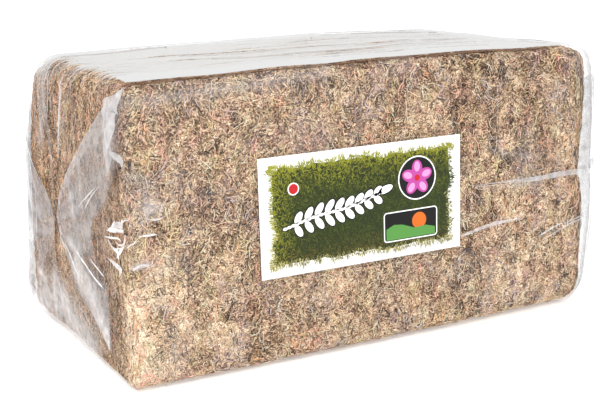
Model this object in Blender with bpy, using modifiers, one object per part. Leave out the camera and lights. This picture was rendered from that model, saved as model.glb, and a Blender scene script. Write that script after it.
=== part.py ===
"""Wrapped moss bale: a pressed block of dried moss in a clear film wrap, with a paper label.

Metres, +Z up. The origin is at the centre of the base. The front, with the label, faces -Y,
and the two ends, where the film is folded like an envelope, face -X and +X.
"""
import math

import bmesh
import bpy
from mathutils import Matrix, Vector, noise

COLLECTION_NAME = "wrapped_moss_bale"

# The pressed block, and the film and paper around it
BLOCK_LENGTH = 0.540
BLOCK_DEPTH = 0.313
BLOCK_HEIGHT = 0.291
FILM_THICKNESS = 0.0005
LABEL_THICKNESS = 0.0003
CONTACT_GAP = 0.0004

# The film stands further off the right end, so the block lies this far left of the middle
BLOCK_CENTRE_X = -0.0012

# The label on the front
LABEL_WIDTH = 0.229
LABEL_HEIGHT = 0.118
LABEL_CENTRE_X = -0.024
LABEL_CENTRE_Z = 0.1495
LABEL_FLAT_MARGIN = 0.025

# Rounding radii along X, Y and Z at each corner, keyed by the corner's sides
CORNER_RADII = {
    (-1, -1, -1): Vector((0.008, 0.011, 0.009)),
    (1, -1, -1): Vector((0.025, 0.029, 0.035)),
    (-1, 1, -1): Vector((0.012, 0.010, 0.012)),
    (1, 1, -1): Vector((0.022, 0.020, 0.020)),
    (-1, -1, 1): Vector((0.018, 0.018, 0.013)),
    (1, -1, 1): Vector((0.048, 0.026, 0.018)),
    (-1, 1, 1): Vector((0.036, 0.040, 0.040)),
    (1, 1, 1): Vector((0.047, 0.026, 0.027)),
}
RIGHT_CORNER_REACH = 2.5

# Uneven pressing: a sloping crowned top, and shallow lumps on every face but the base
TOP_SLOPE = 0.006
CROWN_HEIGHT = 0.003
CROWN_CENTRE_X = 0.07
CROWN_WAVELENGTH = 0.80
LUMP_SIZE = 0.070
LUMP_HEIGHT = 0.0014
END_LUMP_HEIGHT = 0.0030
LUMP_FADE_HEIGHT = 0.020

# Mesh lines along X, Y and Z, closer together near the edges
GRID_CELLS = (20, 14, 12)
GRID_CROWDING = 0.9

# How far the film stands off the left and the right end, and at the left end's back corner
STAND_OFF = {-1: 0.003, 1: 0.009}
STAND_OFF_RISE = 0.050
TUCK_HEIGHT = 0.008
TUCK_Z = 0.060
TUCK_REACH = 0.075

# The envelope flaps of each end as (y, z): the upper edge down to the apex, and the lower edge's foot
HALF_DEPTH = BLOCK_DEPTH / 2
LEFT_FLAPS = (
    {"top": ((-HALF_DEPTH, 0.280), (-0.017, 0.206), (0.058, 0.108)), "foot": (-HALF_DEPTH, 0.004)},
    {"top": ((HALF_DEPTH, 0.200), (0.104, 0.155), (0.079, 0.103)), "foot": (HALF_DEPTH, 0.008)},
)
RIGHT_FLAPS = (
    {"top": ((-HALF_DEPTH, 0.262), (-0.030, 0.196), (0.020, 0.122)), "foot": (-HALF_DEPTH, 0.010)},
    {"top": ((HALF_DEPTH, 0.250), (0.086, 0.178), (0.044, 0.118)), "foot": (HALF_DEPTH, 0.012)},
)
FLAPS = {-1: LEFT_FLAPS, 1: RIGHT_FLAPS}
FLAP_HEIGHT = 0.0035
FLAP_EDGE = 0.006
FLAP_CUT_MARGIN = 0.012

# The slit where the flaps of the left end do not quite meet
SLIT_CENTRE_Y = 0.068
SLIT_WIDTH = 0.007
SLIT_BOTTOM_Z = 0.060
SLIT_TOP_Z = 0.112
SLIT_CUT_MARGIN = 0.025

SHARP_ANGLE = math.radians(35)
FILM_OFFSET = CONTACT_GAP + FILM_THICKNESS
HALF = Vector((BLOCK_LENGTH, BLOCK_DEPTH, BLOCK_HEIGHT)) / 2
CENTRE = Vector((BLOCK_CENTRE_X, 0.0, FILM_OFFSET + BLOCK_HEIGHT / 2))


def smooth_step(value):
    """0 up to 0, 1 from 1, and a soft rise between."""
    share = min(1.0, max(0.0, value))
    return share * share * (3 - 2 * share)


def empty_scene():
    for item in list(bpy.data.objects):
        bpy.data.objects.remove(item, do_unlink=True)


def make_collection():
    collection = bpy.data.collections.new(COLLECTION_NAME)
    bpy.context.scene.collection.children.link(collection)
    return collection


def make_material(name, colour, roughness, alpha=1.0):
    material = bpy.data.materials.new(name)
    material.use_nodes = True
    shader = material.node_tree.nodes["Principled BSDF"]
    shader.inputs["Base Color"].default_value = (*colour, 1.0)
    shader.inputs["Roughness"].default_value = roughness
    shader.inputs["Metallic"].default_value = 0.0
    shader.inputs["Alpha"].default_value = alpha
    return material


def moss_material():
    return make_material("pressed_moss", (0.34, 0.22, 0.11), 0.95)


def film_material():
    return make_material("clear_film", (0.90, 0.91, 0.92), 0.12, alpha=0.25)


def label_material():
    return make_material("printed_paper", (0.82, 0.86, 0.78), 0.45)


def grid_lines(half_size, cells):
    """Places of the mesh lines across a face, from one edge to the other."""
    widest = GRID_CROWDING * math.pi / 2
    steps = [2 * i / cells - 1 for i in range(1, cells)]
    return [half_size * math.sin(step * widest) / math.sin(widest) for step in steps]


def cut_faces(mesh, faces, point, normal):
    """Cut the given faces of the sharp box along a plane."""
    edges = {edge for face in faces for edge in face.edges}
    verts = {vert for face in faces for vert in face.verts}
    bmesh.ops.bisect_plane(mesh, geom=list(verts) + list(edges) + list(faces),
                           plane_co=point, plane_no=normal, dist=1e-6)


def end_faces(mesh, side, y_range, z_range):
    """Faces of one end whose middle is within a window of y and z."""
    found = []
    for face in mesh.faces:
        middle = face.calc_center_median()
        on_end = abs(middle.x - side * HALF.x) < 1e-5
        y, z = middle.y + CENTRE.y, middle.z + CENTRE.z
        if on_end and y_range[0] < y < y_range[1] and z_range[0] < z < z_range[1]:
            found.append(face)
    return found


def cut_fold(mesh, side, start, stop):
    """Two cuts along one straight fold of an end, for the foot and the top of its small step."""
    along = Vector((0.0, stop[0] - start[0], stop[1] - start[1]))
    across = Vector((1.0, 0.0, 0.0)).cross(along).normalized()
    y_range = (min(start[0], stop[0]), max(start[0], stop[0]))
    z_range = (min(start[1], stop[1]) - FLAP_CUT_MARGIN, max(start[1], stop[1]) + FLAP_CUT_MARGIN)
    for shift in (-FLAP_EDGE / 2, FLAP_EDGE / 2):
        point = Vector((0.0, *stop)) + across * shift - CENTRE
        cut_faces(mesh, end_faces(mesh, side, y_range, z_range), point, across)


def cut_flap(mesh, side, flap):
    corners = flap["top"]
    for start, stop in zip(corners, corners[1:]):
        cut_fold(mesh, side, start, stop)
    cut_fold(mesh, side, flap["foot"], corners[-1])


def cut_slit(mesh):
    """Cuts around the slit of the left end."""
    sides_y = (SLIT_CENTRE_Y - SLIT_WIDTH / 2, SLIT_CENTRE_Y + SLIT_WIDTH / 2)
    window_y = (sides_y[0] - SLIT_CUT_MARGIN, sides_y[1] + SLIT_CUT_MARGIN)
    window_z = (SLIT_BOTTOM_Z - SLIT_CUT_MARGIN, SLIT_TOP_Z + SLIT_CUT_MARGIN)
    for y in sides_y:
        faces = end_faces(mesh, -1, window_y, window_z)
        cut_faces(mesh, faces, Vector((0.0, y, 0.0)), Vector((0.0, 1.0, 0.0)))
    for z in (SLIT_BOTTOM_Z, SLIT_TOP_Z):
        faces = end_faces(mesh, -1, sides_y, window_z)
        cut_faces(mesh, faces, Vector((0.0, 0.0, z - CENTRE.z)), Vector((0.0, 0.0, 1.0)))


def sharp_box():
    """The block as a sharp box centred on its own middle, cut into triangles."""
    mesh = bmesh.new()
    bmesh.ops.create_cube(mesh, size=1.0, matrix=Matrix.Diagonal((*(HALF * 2), 1.0)))
    for axis in range(3):
        normal = Vector([1.0 if i == axis else 0.0 for i in range(3)])
        for place in grid_lines(HALF[axis], GRID_CELLS[axis]):
            cut_faces(mesh, list(mesh.faces), normal * place, normal)
    for side, flaps in FLAPS.items():
        for flap in flaps:
            cut_flap(mesh, side, flap)
    cut_slit(mesh)
    bmesh.ops.triangulate(mesh, faces=mesh.faces)
    return mesh


def corner_weight(corner, share):
    """How much a corner's radii count at a point, given as shares of the half sizes."""
    right = ((1 + share[0]) / 2) ** RIGHT_CORNER_REACH
    weight = right if corner[0] > 0 else 1 - right
    for axis in (1, 2):
        weight *= (1 + corner[axis] * share[axis]) / 2
    return weight


def rounded(point):
    """The place and the outward direction that a point of the sharp box has once rounded."""
    share = [point[i] / HALF[i] for i in range(3)]
    radii = Vector((0.0, 0.0, 0.0))
    for corner, corner_radii in CORNER_RADII.items():
        radii += corner_radii * corner_weight(corner, share)
    core = Vector([min(h - r, max(r - h, c)) for c, h, r in zip(point, HALF, radii)])
    offset = Vector([(c - k) / r for c, k, r in zip(point, core, radii)]).normalized()
    place = core + offset * radii + CENTRE
    outward = Vector([o / r for o, r in zip(offset, radii)]).normalized()
    return place, outward


def label_nearness(place):
    """1 on the part of the front that the label covers, and 0 well away from it."""
    if place.y > 0:
        return 0.0
    past_x = abs(place.x - LABEL_CENTRE_X) - LABEL_WIDTH / 2
    past_z = abs(place.z - LABEL_CENTRE_Z) - LABEL_HEIGHT / 2
    past = max(past_x, past_z) - LABEL_FLAT_MARGIN
    return 1.0 - smooth_step(past / LABEL_FLAT_MARGIN)


def block_place(point):
    """Where a point of the sharp box lies on the uneven block, and which way is out."""
    place, outward = rounded(point)
    above_base = smooth_step((place.z - FILM_OFFSET) / LUMP_FADE_HEIGHT)
    height = LUMP_HEIGHT + (END_LUMP_HEIGHT - LUMP_HEIGHT) * abs(outward.x)
    lump = height * noise.noise(place / LUMP_SIZE) * above_base * (1 - label_nearness(place))
    crown = CROWN_HEIGHT * math.cos(2 * math.pi * (place.x - CROWN_CENTRE_X) / CROWN_WAVELENGTH)
    rise = (crown - TOP_SLOPE * place.x) * max(0.0, outward.z) ** 2
    return place + outward * lump + Vector((0.0, 0.0, rise)), outward


def height_over_fold(start, stop, y, z):
    """How far a point of an end lies above the straight fold from start to stop."""
    along = Vector((stop[0] - start[0], stop[1] - start[1])).normalized()
    height = along.x * (z - stop[1]) - along.y * (y - stop[0])
    return height if along.x > 0 else -height


def flap_rise(flap, y, z):
    """1 on a flap and 0 off it, with the small step of its edge between."""
    corners = flap["top"]
    depths = [-height_over_fold(start, stop, y, z) for start, stop in zip(corners, corners[1:])]
    depths.append(height_over_fold(flap["foot"], corners[-1], y, z))
    return smooth_step((min(depths) + FLAP_EDGE / 2) / FLAP_EDGE)


def stand_off(place, outward):
    """How far the film stands off the block: nothing on the long faces, more on the ends."""
    side = 1 if place.x > 0 else -1
    above_base = smooth_step((place.z - FILM_OFFSET) / STAND_OFF_RISE)
    rises = [flap_rise(flap, place.y, place.z) for flap in FLAPS[side]]
    height = STAND_OFF[side] + FLAP_HEIGHT * max(rises)
    if side < 0:
        past_tuck = math.hypot(place.y - HALF_DEPTH, place.z - TUCK_Z) / TUCK_REACH
        height += TUCK_HEIGHT * (1 - smooth_step(past_tuck))
    return height * smooth_step(abs(outward.x)) * above_base


def film_place(point):
    """Where a point of the sharp box lies on the outside of the film."""
    place, outward = block_place(point)
    return place + outward * (FILM_OFFSET + stand_off(place, outward))


def in_slit(face):
    middle = face.calc_center_median()
    at_left = abs(middle.x + HALF.x) < 1e-5
    across = abs(middle.y - SLIT_CENTRE_Y) < SLIT_WIDTH / 2
    return at_left and across and SLIT_BOTTOM_Z < middle.z + CENTRE.z < SLIT_TOP_Z


def finish_object(name, mesh, material, collection):
    """Turn the working mesh into a named, smooth-shaded object."""
    data = bpy.data.meshes.new(name)
    mesh.to_mesh(data)
    mesh.free()
    data.materials.append(material)
    data.shade_smooth()
    data.set_sharp_from_angle(angle=SHARP_ANGLE)
    piece = bpy.data.objects.new(name, data)
    collection.objects.link(piece)
    return piece


def add_moss_block(collection):
    mesh = sharp_box()
    for vert in mesh.verts:
        vert.co = block_place(vert.co)[0]
    return finish_object("moss_block", mesh, moss_material(), collection)


def add_film_wrap(collection):
    """The film: the block's own faces moved out, opened at the slit and given a thickness."""
    mesh = sharp_box()
    slit = [face for face in mesh.faces if in_slit(face)]
    bmesh.ops.delete(mesh, geom=slit, context="FACES")
    for vert in mesh.verts:
        vert.co = film_place(vert.co)
    film = finish_object("film_wrap", mesh, film_material(), collection)
    shell = film.modifiers.new("film_thickness", "SOLIDIFY")
    shell.thickness = FILM_THICKNESS
    shell.offset = -1.0
    return film


def add_label(collection):
    """A thin flat plate that lies against the film's front."""
    mesh = bmesh.new()
    size = Matrix.Diagonal((LABEL_WIDTH, LABEL_THICKNESS, LABEL_HEIGHT, 1.0))
    bmesh.ops.create_cube(mesh, size=1.0, matrix=size)
    label = finish_object("label", mesh, label_material(), collection)
    front = HALF_DEPTH + FILM_OFFSET + CONTACT_GAP + LABEL_THICKNESS / 2
    label.location = (LABEL_CENTRE_X, -front, LABEL_CENTRE_Z)
    return label


def main():
    empty_scene()
    collection = make_collection()
    add_moss_block(collection)
    add_film_wrap(collection)
    add_label(collection)


main()
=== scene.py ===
"""Wrapped moss bale: tangled moss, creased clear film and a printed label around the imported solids.

Metres, +Z up. The front, with the label, faces -Y, and the film is folded like an envelope
at the two ends, which face -X and +X.
"""
import math
from collections import namedtuple

import bpy
import numpy as np
from mathutils import Matrix, Vector, noise
from mathutils.bvhtree import BVHTree


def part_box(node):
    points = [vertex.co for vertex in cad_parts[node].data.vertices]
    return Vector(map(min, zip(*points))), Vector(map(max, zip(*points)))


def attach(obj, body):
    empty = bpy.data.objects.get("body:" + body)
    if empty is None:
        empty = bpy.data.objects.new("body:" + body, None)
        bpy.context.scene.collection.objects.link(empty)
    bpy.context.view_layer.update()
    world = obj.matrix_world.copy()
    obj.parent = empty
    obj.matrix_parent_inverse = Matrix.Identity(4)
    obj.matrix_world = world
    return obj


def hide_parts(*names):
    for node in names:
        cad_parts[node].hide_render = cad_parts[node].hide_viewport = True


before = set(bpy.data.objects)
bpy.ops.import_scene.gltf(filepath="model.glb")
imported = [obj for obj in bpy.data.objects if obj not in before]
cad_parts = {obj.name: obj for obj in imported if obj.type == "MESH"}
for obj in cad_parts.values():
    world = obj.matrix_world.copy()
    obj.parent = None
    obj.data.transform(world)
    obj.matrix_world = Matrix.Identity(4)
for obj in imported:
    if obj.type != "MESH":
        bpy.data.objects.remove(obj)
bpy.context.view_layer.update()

BODY = "root"
SEED = 20

# Where a share rises from 0 to 1 is given as a pair: where it starts, and over how much it rises

# The block's own form, as in the solids
BLOCK_SIZE = np.array((0.540, 0.313, 0.291))
FILM_OFFSET = 0.0009
HALF = BLOCK_SIZE / 2
CENTRE = np.array((-0.0012, 0.0, FILM_OFFSET + HALF[2]))
CORNER_RADII = {
    (-1, -1, -1): (0.008, 0.011, 0.009),
    (1, -1, -1): (0.025, 0.029, 0.035),
    (-1, 1, -1): (0.012, 0.010, 0.012),
    (1, 1, -1): (0.022, 0.020, 0.020),
    (-1, -1, 1): (0.018, 0.018, 0.013),
    (1, -1, 1): (0.048, 0.026, 0.018),
    (-1, 1, 1): (0.036, 0.040, 0.040),
    (1, 1, 1): (0.047, 0.026, 0.027),
}
RIGHT_CORNER_REACH = 2.5
TOP_SLOPE = 0.006
CROWN_HEIGHT = 0.003
CROWN_CENTRE_X = 0.07
CROWN_WAVELENGTH = 0.80
LUMP_SIZE = 0.070
LUMP_HEIGHT = 0.0014
END_LUMP_HEIGHT = 0.0030
LUMP_FADE_HEIGHT = 0.020

# The label's place on the front
LABEL_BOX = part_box("label")
LABEL_SIZE = (LABEL_BOX[1][0] - LABEL_BOX[0][0], LABEL_BOX[1][2] - LABEL_BOX[0][2])
LABEL_CENTRE = ((LABEL_BOX[0][0] + LABEL_BOX[1][0]) / 2, (LABEL_BOX[0][2] + LABEL_BOX[1][2]) / 2)
LABEL_FLAT_MARGIN = 0.025
LABEL_TURN = math.radians(0.45)

# How far the film stands off the ends
STAND_OFF_LEFT = 0.003
STAND_OFF_RIGHT_Z = (0.0, 0.053, 0.077, 0.102, 0.132, 0.160, 0.187, 0.220, 0.240, 0.265, 0.290)
STAND_OFF_RIGHT = (0.003, 0.005, 0.007, 0.008, 0.0085, 0.0095, 0.0095, 0.0080, 0.0068, 0.0055, 0.0015)
STAND_OFF_RISE = 0.050
TUCK_HEIGHT = 0.0048
TUCK_Z = 0.030
TUCK_REACH = 0.045
TAUT_Y = (0.06, 0.05)
TAUT_Z = (0.075, 0.03)
TAUT_SHARE = 0.8
END_TURN = 1.4

# Swell of the left end near its back edge: heights by z, and the rise towards the back
BULGE_Z = (0.0, 0.02, 0.05, 0.085, 0.12, 0.15, 0.18, 0.22, 0.26)
BULGE = (0.002, 0.0062, 0.0070, 0.0070, 0.0068, 0.0064, 0.0048, 0.002, 0.0)
BULGE_Y = (0.045, 0.065)


def srgb(red, green, blue):
    """A colour given as 0 to 255 on a screen, as linear light."""
    shares = np.array((red, green, blue)) / 255
    return np.where(shares <= 0.04045, shares / 12.92, ((shares + 0.055) / 1.055) ** 2.4)


def smooth_step(value):
    share = np.clip(value, 0.0, 1.0)
    return share * share * (3 - 2 * share)


def soft_rise(value, start, over):
    """0 up to the start, and 1 once the value is past it by the given amount."""
    return smooth_step((value - start) / over)


def unit(vectors):
    return vectors / np.maximum(np.linalg.norm(vectors, axis=-1, keepdims=True), 1e-12)


def noise_at(points, size, shift=0.0):
    """Smooth noise of about -1 to 1 with lumps of the given size."""
    scaled = np.asarray(points) / size + shift
    return np.array([noise.noise(Vector(point)) for point in scaled])


def flat_noise(spots, size, shift):
    """The same noise at flat points."""
    return noise_at(np.pad(spots, ((0, 0), (0, 1))), size, shift)


# Form of the block

def rounded(points):
    """The places and outward directions that points of the sharp box have once rounded."""
    share = points / HALF
    radii = np.zeros_like(points)
    right = ((1 + share[:, 0]) / 2) ** RIGHT_CORNER_REACH
    for corner, corner_radii in CORNER_RADII.items():
        weight = right if corner[0] > 0 else 1 - right
        for axis in (1, 2):
            weight = weight * (1 + corner[axis] * share[:, axis]) / 2
        radii += weight[:, None] * np.array(corner_radii)
    core = np.clip(points, radii - HALF, HALF - radii)
    offset = unit((points - core) / radii)
    return core + offset * radii + CENTRE, unit(offset / radii)


def label_nearness(places):
    """1 on the part of the front that the label covers, and 0 well away from it."""
    past_x = np.abs(places[:, 0] - LABEL_CENTRE[0]) - LABEL_SIZE[0] / 2
    past_z = np.abs(places[:, 2] - LABEL_CENTRE[1]) - LABEL_SIZE[1] / 2
    past = np.maximum(past_x, past_z) - LABEL_FLAT_MARGIN
    return (1.0 - smooth_step(past / LABEL_FLAT_MARGIN)) * (places[:, 1] < 0)


def block_surface(points):
    """Where points of the sharp box lie on the uneven block, and which way is out."""
    places, outward = rounded(points)
    above_base = soft_rise(places[:, 2], FILM_OFFSET, LUMP_FADE_HEIGHT)
    height = LUMP_HEIGHT + (END_LUMP_HEIGHT - LUMP_HEIGHT) * np.abs(outward[:, 0])
    lump = height * noise_at(places, LUMP_SIZE) * above_base * (1 - label_nearness(places))
    crown = CROWN_HEIGHT * np.cos(2 * np.pi * (places[:, 0] - CROWN_CENTRE_X) / CROWN_WAVELENGTH)
    rise = (crown - TOP_SLOPE * places[:, 0]) * np.maximum(0.0, outward[:, 2]) ** 2
    lifted = places + outward * lump[:, None]
    lifted[:, 2] += rise
    return lifted, outward


def end_share(outward):
    """0 on the long faces and 1 on the ends, with a soft change round the corners."""
    return smooth_step(END_TURN * np.abs(outward[:, 0]))


def back_bulge(places):
    """How far the left end swells near its back edge."""
    swell = np.interp(places[:, 2], BULGE_Z, BULGE) * soft_rise(places[:, 1], *BULGE_Y)
    return swell * (places[:, 0] < 0)


def film_stand_off(places, outward):
    """How far the film stands off the block: nothing on the long faces, more on the ends."""
    above_base = soft_rise(places[:, 2], FILM_OFFSET, STAND_OFF_RISE)
    at_left = places[:, 0] < 0
    right = np.interp(places[:, 2], STAND_OFF_RIGHT_Z, STAND_OFF_RIGHT)
    height = np.where(at_left, STAND_OFF_LEFT, right)
    past_tuck = np.hypot(places[:, 1] - HALF[1], places[:, 2] - TUCK_Z) / TUCK_REACH
    taut = at_left * soft_rise(places[:, 1], *TAUT_Y) * soft_rise(places[:, 2], *TAUT_Z)
    height = height * (1 - TAUT_SHARE * taut)
    height = height + at_left * TUCK_HEIGHT * (1 - smooth_step(past_tuck))
    return (height * above_base + back_bulge(places)) * end_share(outward)


def on_box(axis, side, along, across):
    """Points of one face of the sharp box, bent round its edges where they run past them."""
    first, second = (axis + 1) % 3, (axis + 2) % 3
    points = np.zeros((len(along), 3))
    inset = np.zeros(len(along))
    for other, value in ((first, along), (second, across)):
        inset += np.maximum(np.abs(value) - HALF[other], 0.0)
        points[:, other] = np.clip(value, -HALF[other], HALF[other])
    points[:, axis] = side * (HALF[axis] - inset)
    return points


# Meshes

# The solid that the pieces of each slot stand for
NODES = {"moss": "moss_block", "film": "film_wrap", "label": "label"}


def store(data, name, values):
    """Values that a mesh's points carry: a number each, or a colour each."""
    if values.ndim == 1:
        attribute = data.attributes.new(name, "FLOAT", "POINT")
        attribute.data.foreach_set("value", np.ascontiguousarray(values, dtype=np.float32))
    else:
        attribute = data.attributes.new(name, "FLOAT_COLOR", "POINT")
        full = np.pad(values, ((0, 0), (0, 1)), constant_values=1.0)
        attribute.data.foreach_set("color", full.astype(np.float32).ravel())


def make_piece(name, places, faces, material, slot, **values):
    """A mesh piece that rides on the bale and stands for one of its solids, with its points' values."""
    data = bpy.data.meshes.new(name)
    data.vertices.add(len(places))
    data.vertices.foreach_set("co", np.ascontiguousarray(places, dtype=np.float32).ravel())
    faces = np.ascontiguousarray(faces, dtype=np.int32)
    data.loops.add(faces.size)
    data.loops.foreach_set("vertex_index", faces.ravel())
    data.polygons.add(len(faces))
    starts = np.arange(0, faces.size, faces.shape[1], dtype=np.int32)
    data.polygons.foreach_set("loop_start", starts)
    data.update(calc_edges=True)
    data.validate()
    data.shade_smooth()
    data.materials.append(material)
    for key, carried in values.items():
        store(data, key, carried)
    piece = bpy.data.objects.new(name, data)
    bpy.context.scene.collection.objects.link(piece)
    node = NODES[slot]
    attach(piece, BODY)
    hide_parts(node)
    return piece


class Gathering:
    """Shapes gathered into one piece, with the values that their points carry."""

    def __init__(self):
        self.places = []
        self.faces = []
        self.values = {}
        self.used = 0

    def add(self, places, faces, **values):
        self.places.append(places)
        self.faces.append(np.asarray(faces) + self.used)
        self.used += len(places)
        for key, carried in values.items():
            self.values.setdefault(key, []).append(carried)

    def piece(self, name, material, slot):
        values = {key: np.concatenate(parts) for key, parts in self.values.items()}
        places, faces = np.concatenate(self.places), np.concatenate(self.faces)
        return make_piece(name, places, faces, material, slot, **values)


def grid_quads(rows, columns):
    """Quads between the points of a grid, which are counted row by row."""
    index = np.arange(rows * columns).reshape(rows, columns)
    corners = index[:-1, :-1], index[1:, :-1], index[1:, 1:], index[:-1, 1:]
    return np.stack(corners, axis=-1).reshape(-1, 4)


def box_grid(lines):
    """A closed box of quads on the given mesh lines along X, Y and Z, and its faces."""
    counts = [len(line) for line in lines]
    corners = []
    for axis in range(3):
        first, second = (axis + 1) % 3, (axis + 2) % 3
        a, b = np.meshgrid(np.arange(counts[first] - 1), np.arange(counts[second] - 1), indexing="ij")
        for side in (0, 1):
            steps = ((0, 0), (1, 0), (1, 1), (0, 1)) if side else ((0, 0), (0, 1), (1, 1), (1, 0))
            quads = np.zeros((a.size, 4, 3), dtype=np.int64)
            quads[:, :, axis] = side * (counts[axis] - 1)
            for place, (step_a, step_b) in enumerate(steps):
                quads[:, place, first] = a.ravel() + step_a
                quads[:, place, second] = b.ravel() + step_b
            corners.append(quads)
    corners = np.concatenate(corners)
    keys = (corners[:, :, 0] * counts[1] + corners[:, :, 1]) * counts[2] + corners[:, :, 2]
    found, faces = np.unique(keys, return_inverse=True)
    layer = counts[1] * counts[2]
    index = np.stack([found // layer, found // counts[2] % counts[1], found % counts[2]], axis=1)
    points = np.stack([np.asarray(lines[axis])[index[:, axis]] for axis in range(3)], axis=1)
    return points, faces.reshape(-1, 4)


# Node helpers

def new_material(name):
    """A material and its node tree, still empty."""
    material = bpy.data.materials.new(name)
    material.use_nodes = True
    material.node_tree.nodes.clear()
    return material, material.node_tree


def set_input(tree, socket, value):
    """An input's constant, or its link from a node's output: the first, where a node is given."""
    if isinstance(value, bpy.types.Node):
        value = value.outputs[0]
    if isinstance(value, bpy.types.NodeSocket):
        tree.links.new(value, socket)
    else:
        socket.default_value = value


def add_node(tree, kind, *values, **settings):
    """A node with its first inputs set in order, and its properties and other inputs set by name."""
    node = tree.nodes.new("ShaderNode" + kind)
    inputs = list(enumerate(values))
    for key, value in settings.items():
        if hasattr(node, key):
            setattr(node, key, value)
        else:
            inputs.append((key.replace("_", " "), value))
    for key, value in inputs:
        set_input(tree, node.inputs[key], value)
    return node


def point_value(tree, name, output="Fac"):
    """What the mesh's points carry under a name."""
    return add_node(tree, "Attribute", attribute_name=name).outputs[output]


def own_place(tree):
    """A point's place on its own piece."""
    return add_node(tree, "TexCoord").outputs["Object"]


def colour_ramp(tree, share, stops):
    """Colours between the given stops, read at a share of 0 to 1."""
    ramp = add_node(tree, "ValToRGB", share)
    elements = ramp.color_ramp.elements
    while len(elements) < len(stops):
        elements.new(0.5)
    for element, (place, colour) in zip(elements, stops):
        element.position = place
        element.color = (*colour, 1.0)
    return ramp


# Moss

MOSS_TONES = (
    (0.00, srgb(48, 34, 26)),
    (0.14, srgb(98, 73, 54)),
    (0.34, srgb(168, 132, 105)),
    (0.60, srgb(218, 185, 153)),
    (0.82, srgb(242, 216, 181)),
    (1.00, srgb(253, 240, 211)),
)

# Grain of a strand, the levels it is read between and the light they give, and its leaf scales' length
STRAND_GRAIN = {"Scale": 1300.0, "Detail": 3.0, "Roughness": 0.75}
GRAIN_LEVELS = (0.30, 0.70)
GRAIN_LIGHT = (0.50, 1.44)
LEAF_SCALE = 0.0011

# Layers of matted fibres: regions that turn as one, and the fibres in them
FIBRE_REGION_SCALES = (52.0, 71.0, 97.0)
FIBRE_OFFSET = 0.37
FIBRE_SHIFT = (1.0, 1.7, 0.6)
FIBRE_WARP_SCALE = 260.0
FIBRE_BEND = 0.0035
FIBRE_STRETCH = 0.15
FIBRE_SCALE = 1050.0
FIBRE_FALL = -0.9

# Gaps between fibres are painted darker, as shade falls there, and each fibre has its own tone
GAP_LEVELS = (0.05, 0.62)
GAP_PAINTED_SHADE = (-0.48, 0.0)
FIBRE_TONES = (0.28, 1.0)


def moss_strand_material():
    """Dry moss strands: each strand's own colour, with small leaf scales along it."""
    material, tree = new_material("moss_strands")
    grain = add_node(tree, "TexNoise", Vector=own_place(tree), **STRAND_GRAIN)
    light = add_node(tree, "MapRange", grain, *GRAIN_LEVELS, *GRAIN_LIGHT)
    tint = point_value(tree, "tint", "Color")
    colour = add_node(tree, "VectorMath", tint, operation="SCALE", Scale=light)
    along = point_value(tree, "along")
    turns = add_node(tree, "Math", along, 2 * math.pi / LEAF_SCALE, operation="MULTIPLY")
    scales = add_node(tree, "Math", turns, operation="SINE")
    relief = add_node(tree, "Math", scales, grain, operation="ADD")
    bump = add_node(tree, "Bump", Strength=0.6, Distance=0.0003, Height=relief)
    shader = add_node(tree, "BsdfPrincipled", colour, Roughness=0.8, Specular_IOR_Level=0.2, Normal=bump)
    add_node(tree, "OutputMaterial", shader)
    return material


def fibre_layer(tree, place, region_scale, offset):
    """The height and tone of one layer of short matted fibres, which each region turns its own way."""
    shift = tuple(offset * share for share in FIBRE_SHIFT)
    moved = add_node(tree, "VectorMath", place, shift, operation="ADD")
    region = add_node(tree, "TexVoronoi", Vector=moved, Scale=region_scale)
    turn = add_node(tree, "VectorMath", region.outputs["Color"], operation="SCALE", Scale=2 * math.pi)
    warp = add_node(tree, "TexNoise", Vector=moved, Scale=FIBRE_WARP_SCALE, Detail=2.0)
    bent = add_node(tree, "VectorMath", warp.outputs["Color"], (FIBRE_BEND,) * 3, moved,
                    operation="MULTIPLY_ADD")
    turned = add_node(tree, "VectorRotate", Vector=bent, Rotation=turn, rotation_type="EULER_XYZ")
    stretched = add_node(tree, "VectorMath", turned, (1.0, 1.0, FIBRE_STRETCH), operation="MULTIPLY")
    fibres = add_node(tree, "TexVoronoi", Vector=stretched, Scale=FIBRE_SCALE)
    split = add_node(tree, "SeparateColor", fibres.outputs["Color"])
    level = add_node(tree, "Math", fibres, FIBRE_FALL, split.outputs["Green"], operation="MULTIPLY_ADD")
    return level, split.outputs["Red"]


def higher_fibre(tree, first, second):
    """The height and tone of whichever of two fibre layers lies on top."""
    above = add_node(tree, "Math", second[0], first[0], operation="GREATER_THAN")
    height = add_node(tree, "Math", first[0], second[0], operation="MAXIMUM")
    return height, add_node(tree, "Mix", Factor=above, A=first[1], B=second[1])


def moss_core_material():
    """The matted moss below the strands: crossing fibres of many tones, with painted shade in the gaps
    between them.
    """
    material, tree = new_material("matted_moss")
    place = own_place(tree)
    height, tone = fibre_layer(tree, place, FIBRE_REGION_SCALES[0], 0.0)
    for number, scale in enumerate(FIBRE_REGION_SCALES[1:], 1):
        layer = fibre_layer(tree, place, scale, FIBRE_OFFSET * number)
        height, tone = higher_fibre(tree, (height, tone), layer)
    # Painted shade: the lower a fibre lies, the darker it is made
    gap = add_node(tree, "MapRange", height, *GAP_LEVELS, *GAP_PAINTED_SHADE)
    lit = add_node(tree, "MapRange", tone, 0.0, 1.0, *FIBRE_TONES)
    shaded = add_node(tree, "Math", gap, lit, operation="ADD")
    patched = add_node(tree, "Math", shaded, point_value(tree, "patch"), operation="ADD")
    colour = colour_ramp(tree, patched, MOSS_TONES)
    bump = add_node(tree, "Bump", Strength=0.8, Distance=0.0009, Height=height)
    shader = add_node(tree, "BsdfPrincipled", colour, Roughness=0.9, Specular_IOR_Level=0.1, Normal=bump)
    add_node(tree, "OutputMaterial", shader)
    return material


CORE_SPACING = 0.0050
CORE_DEPTH = 0.0012
HOLLOW_SIZE = 0.011
HOLLOW_DEPTH = 0.0009
SMALL_HOLLOW_SIZE = HOLLOW_SIZE / 2.3
SMALL_HOLLOW_SHARE = 0.5

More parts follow.
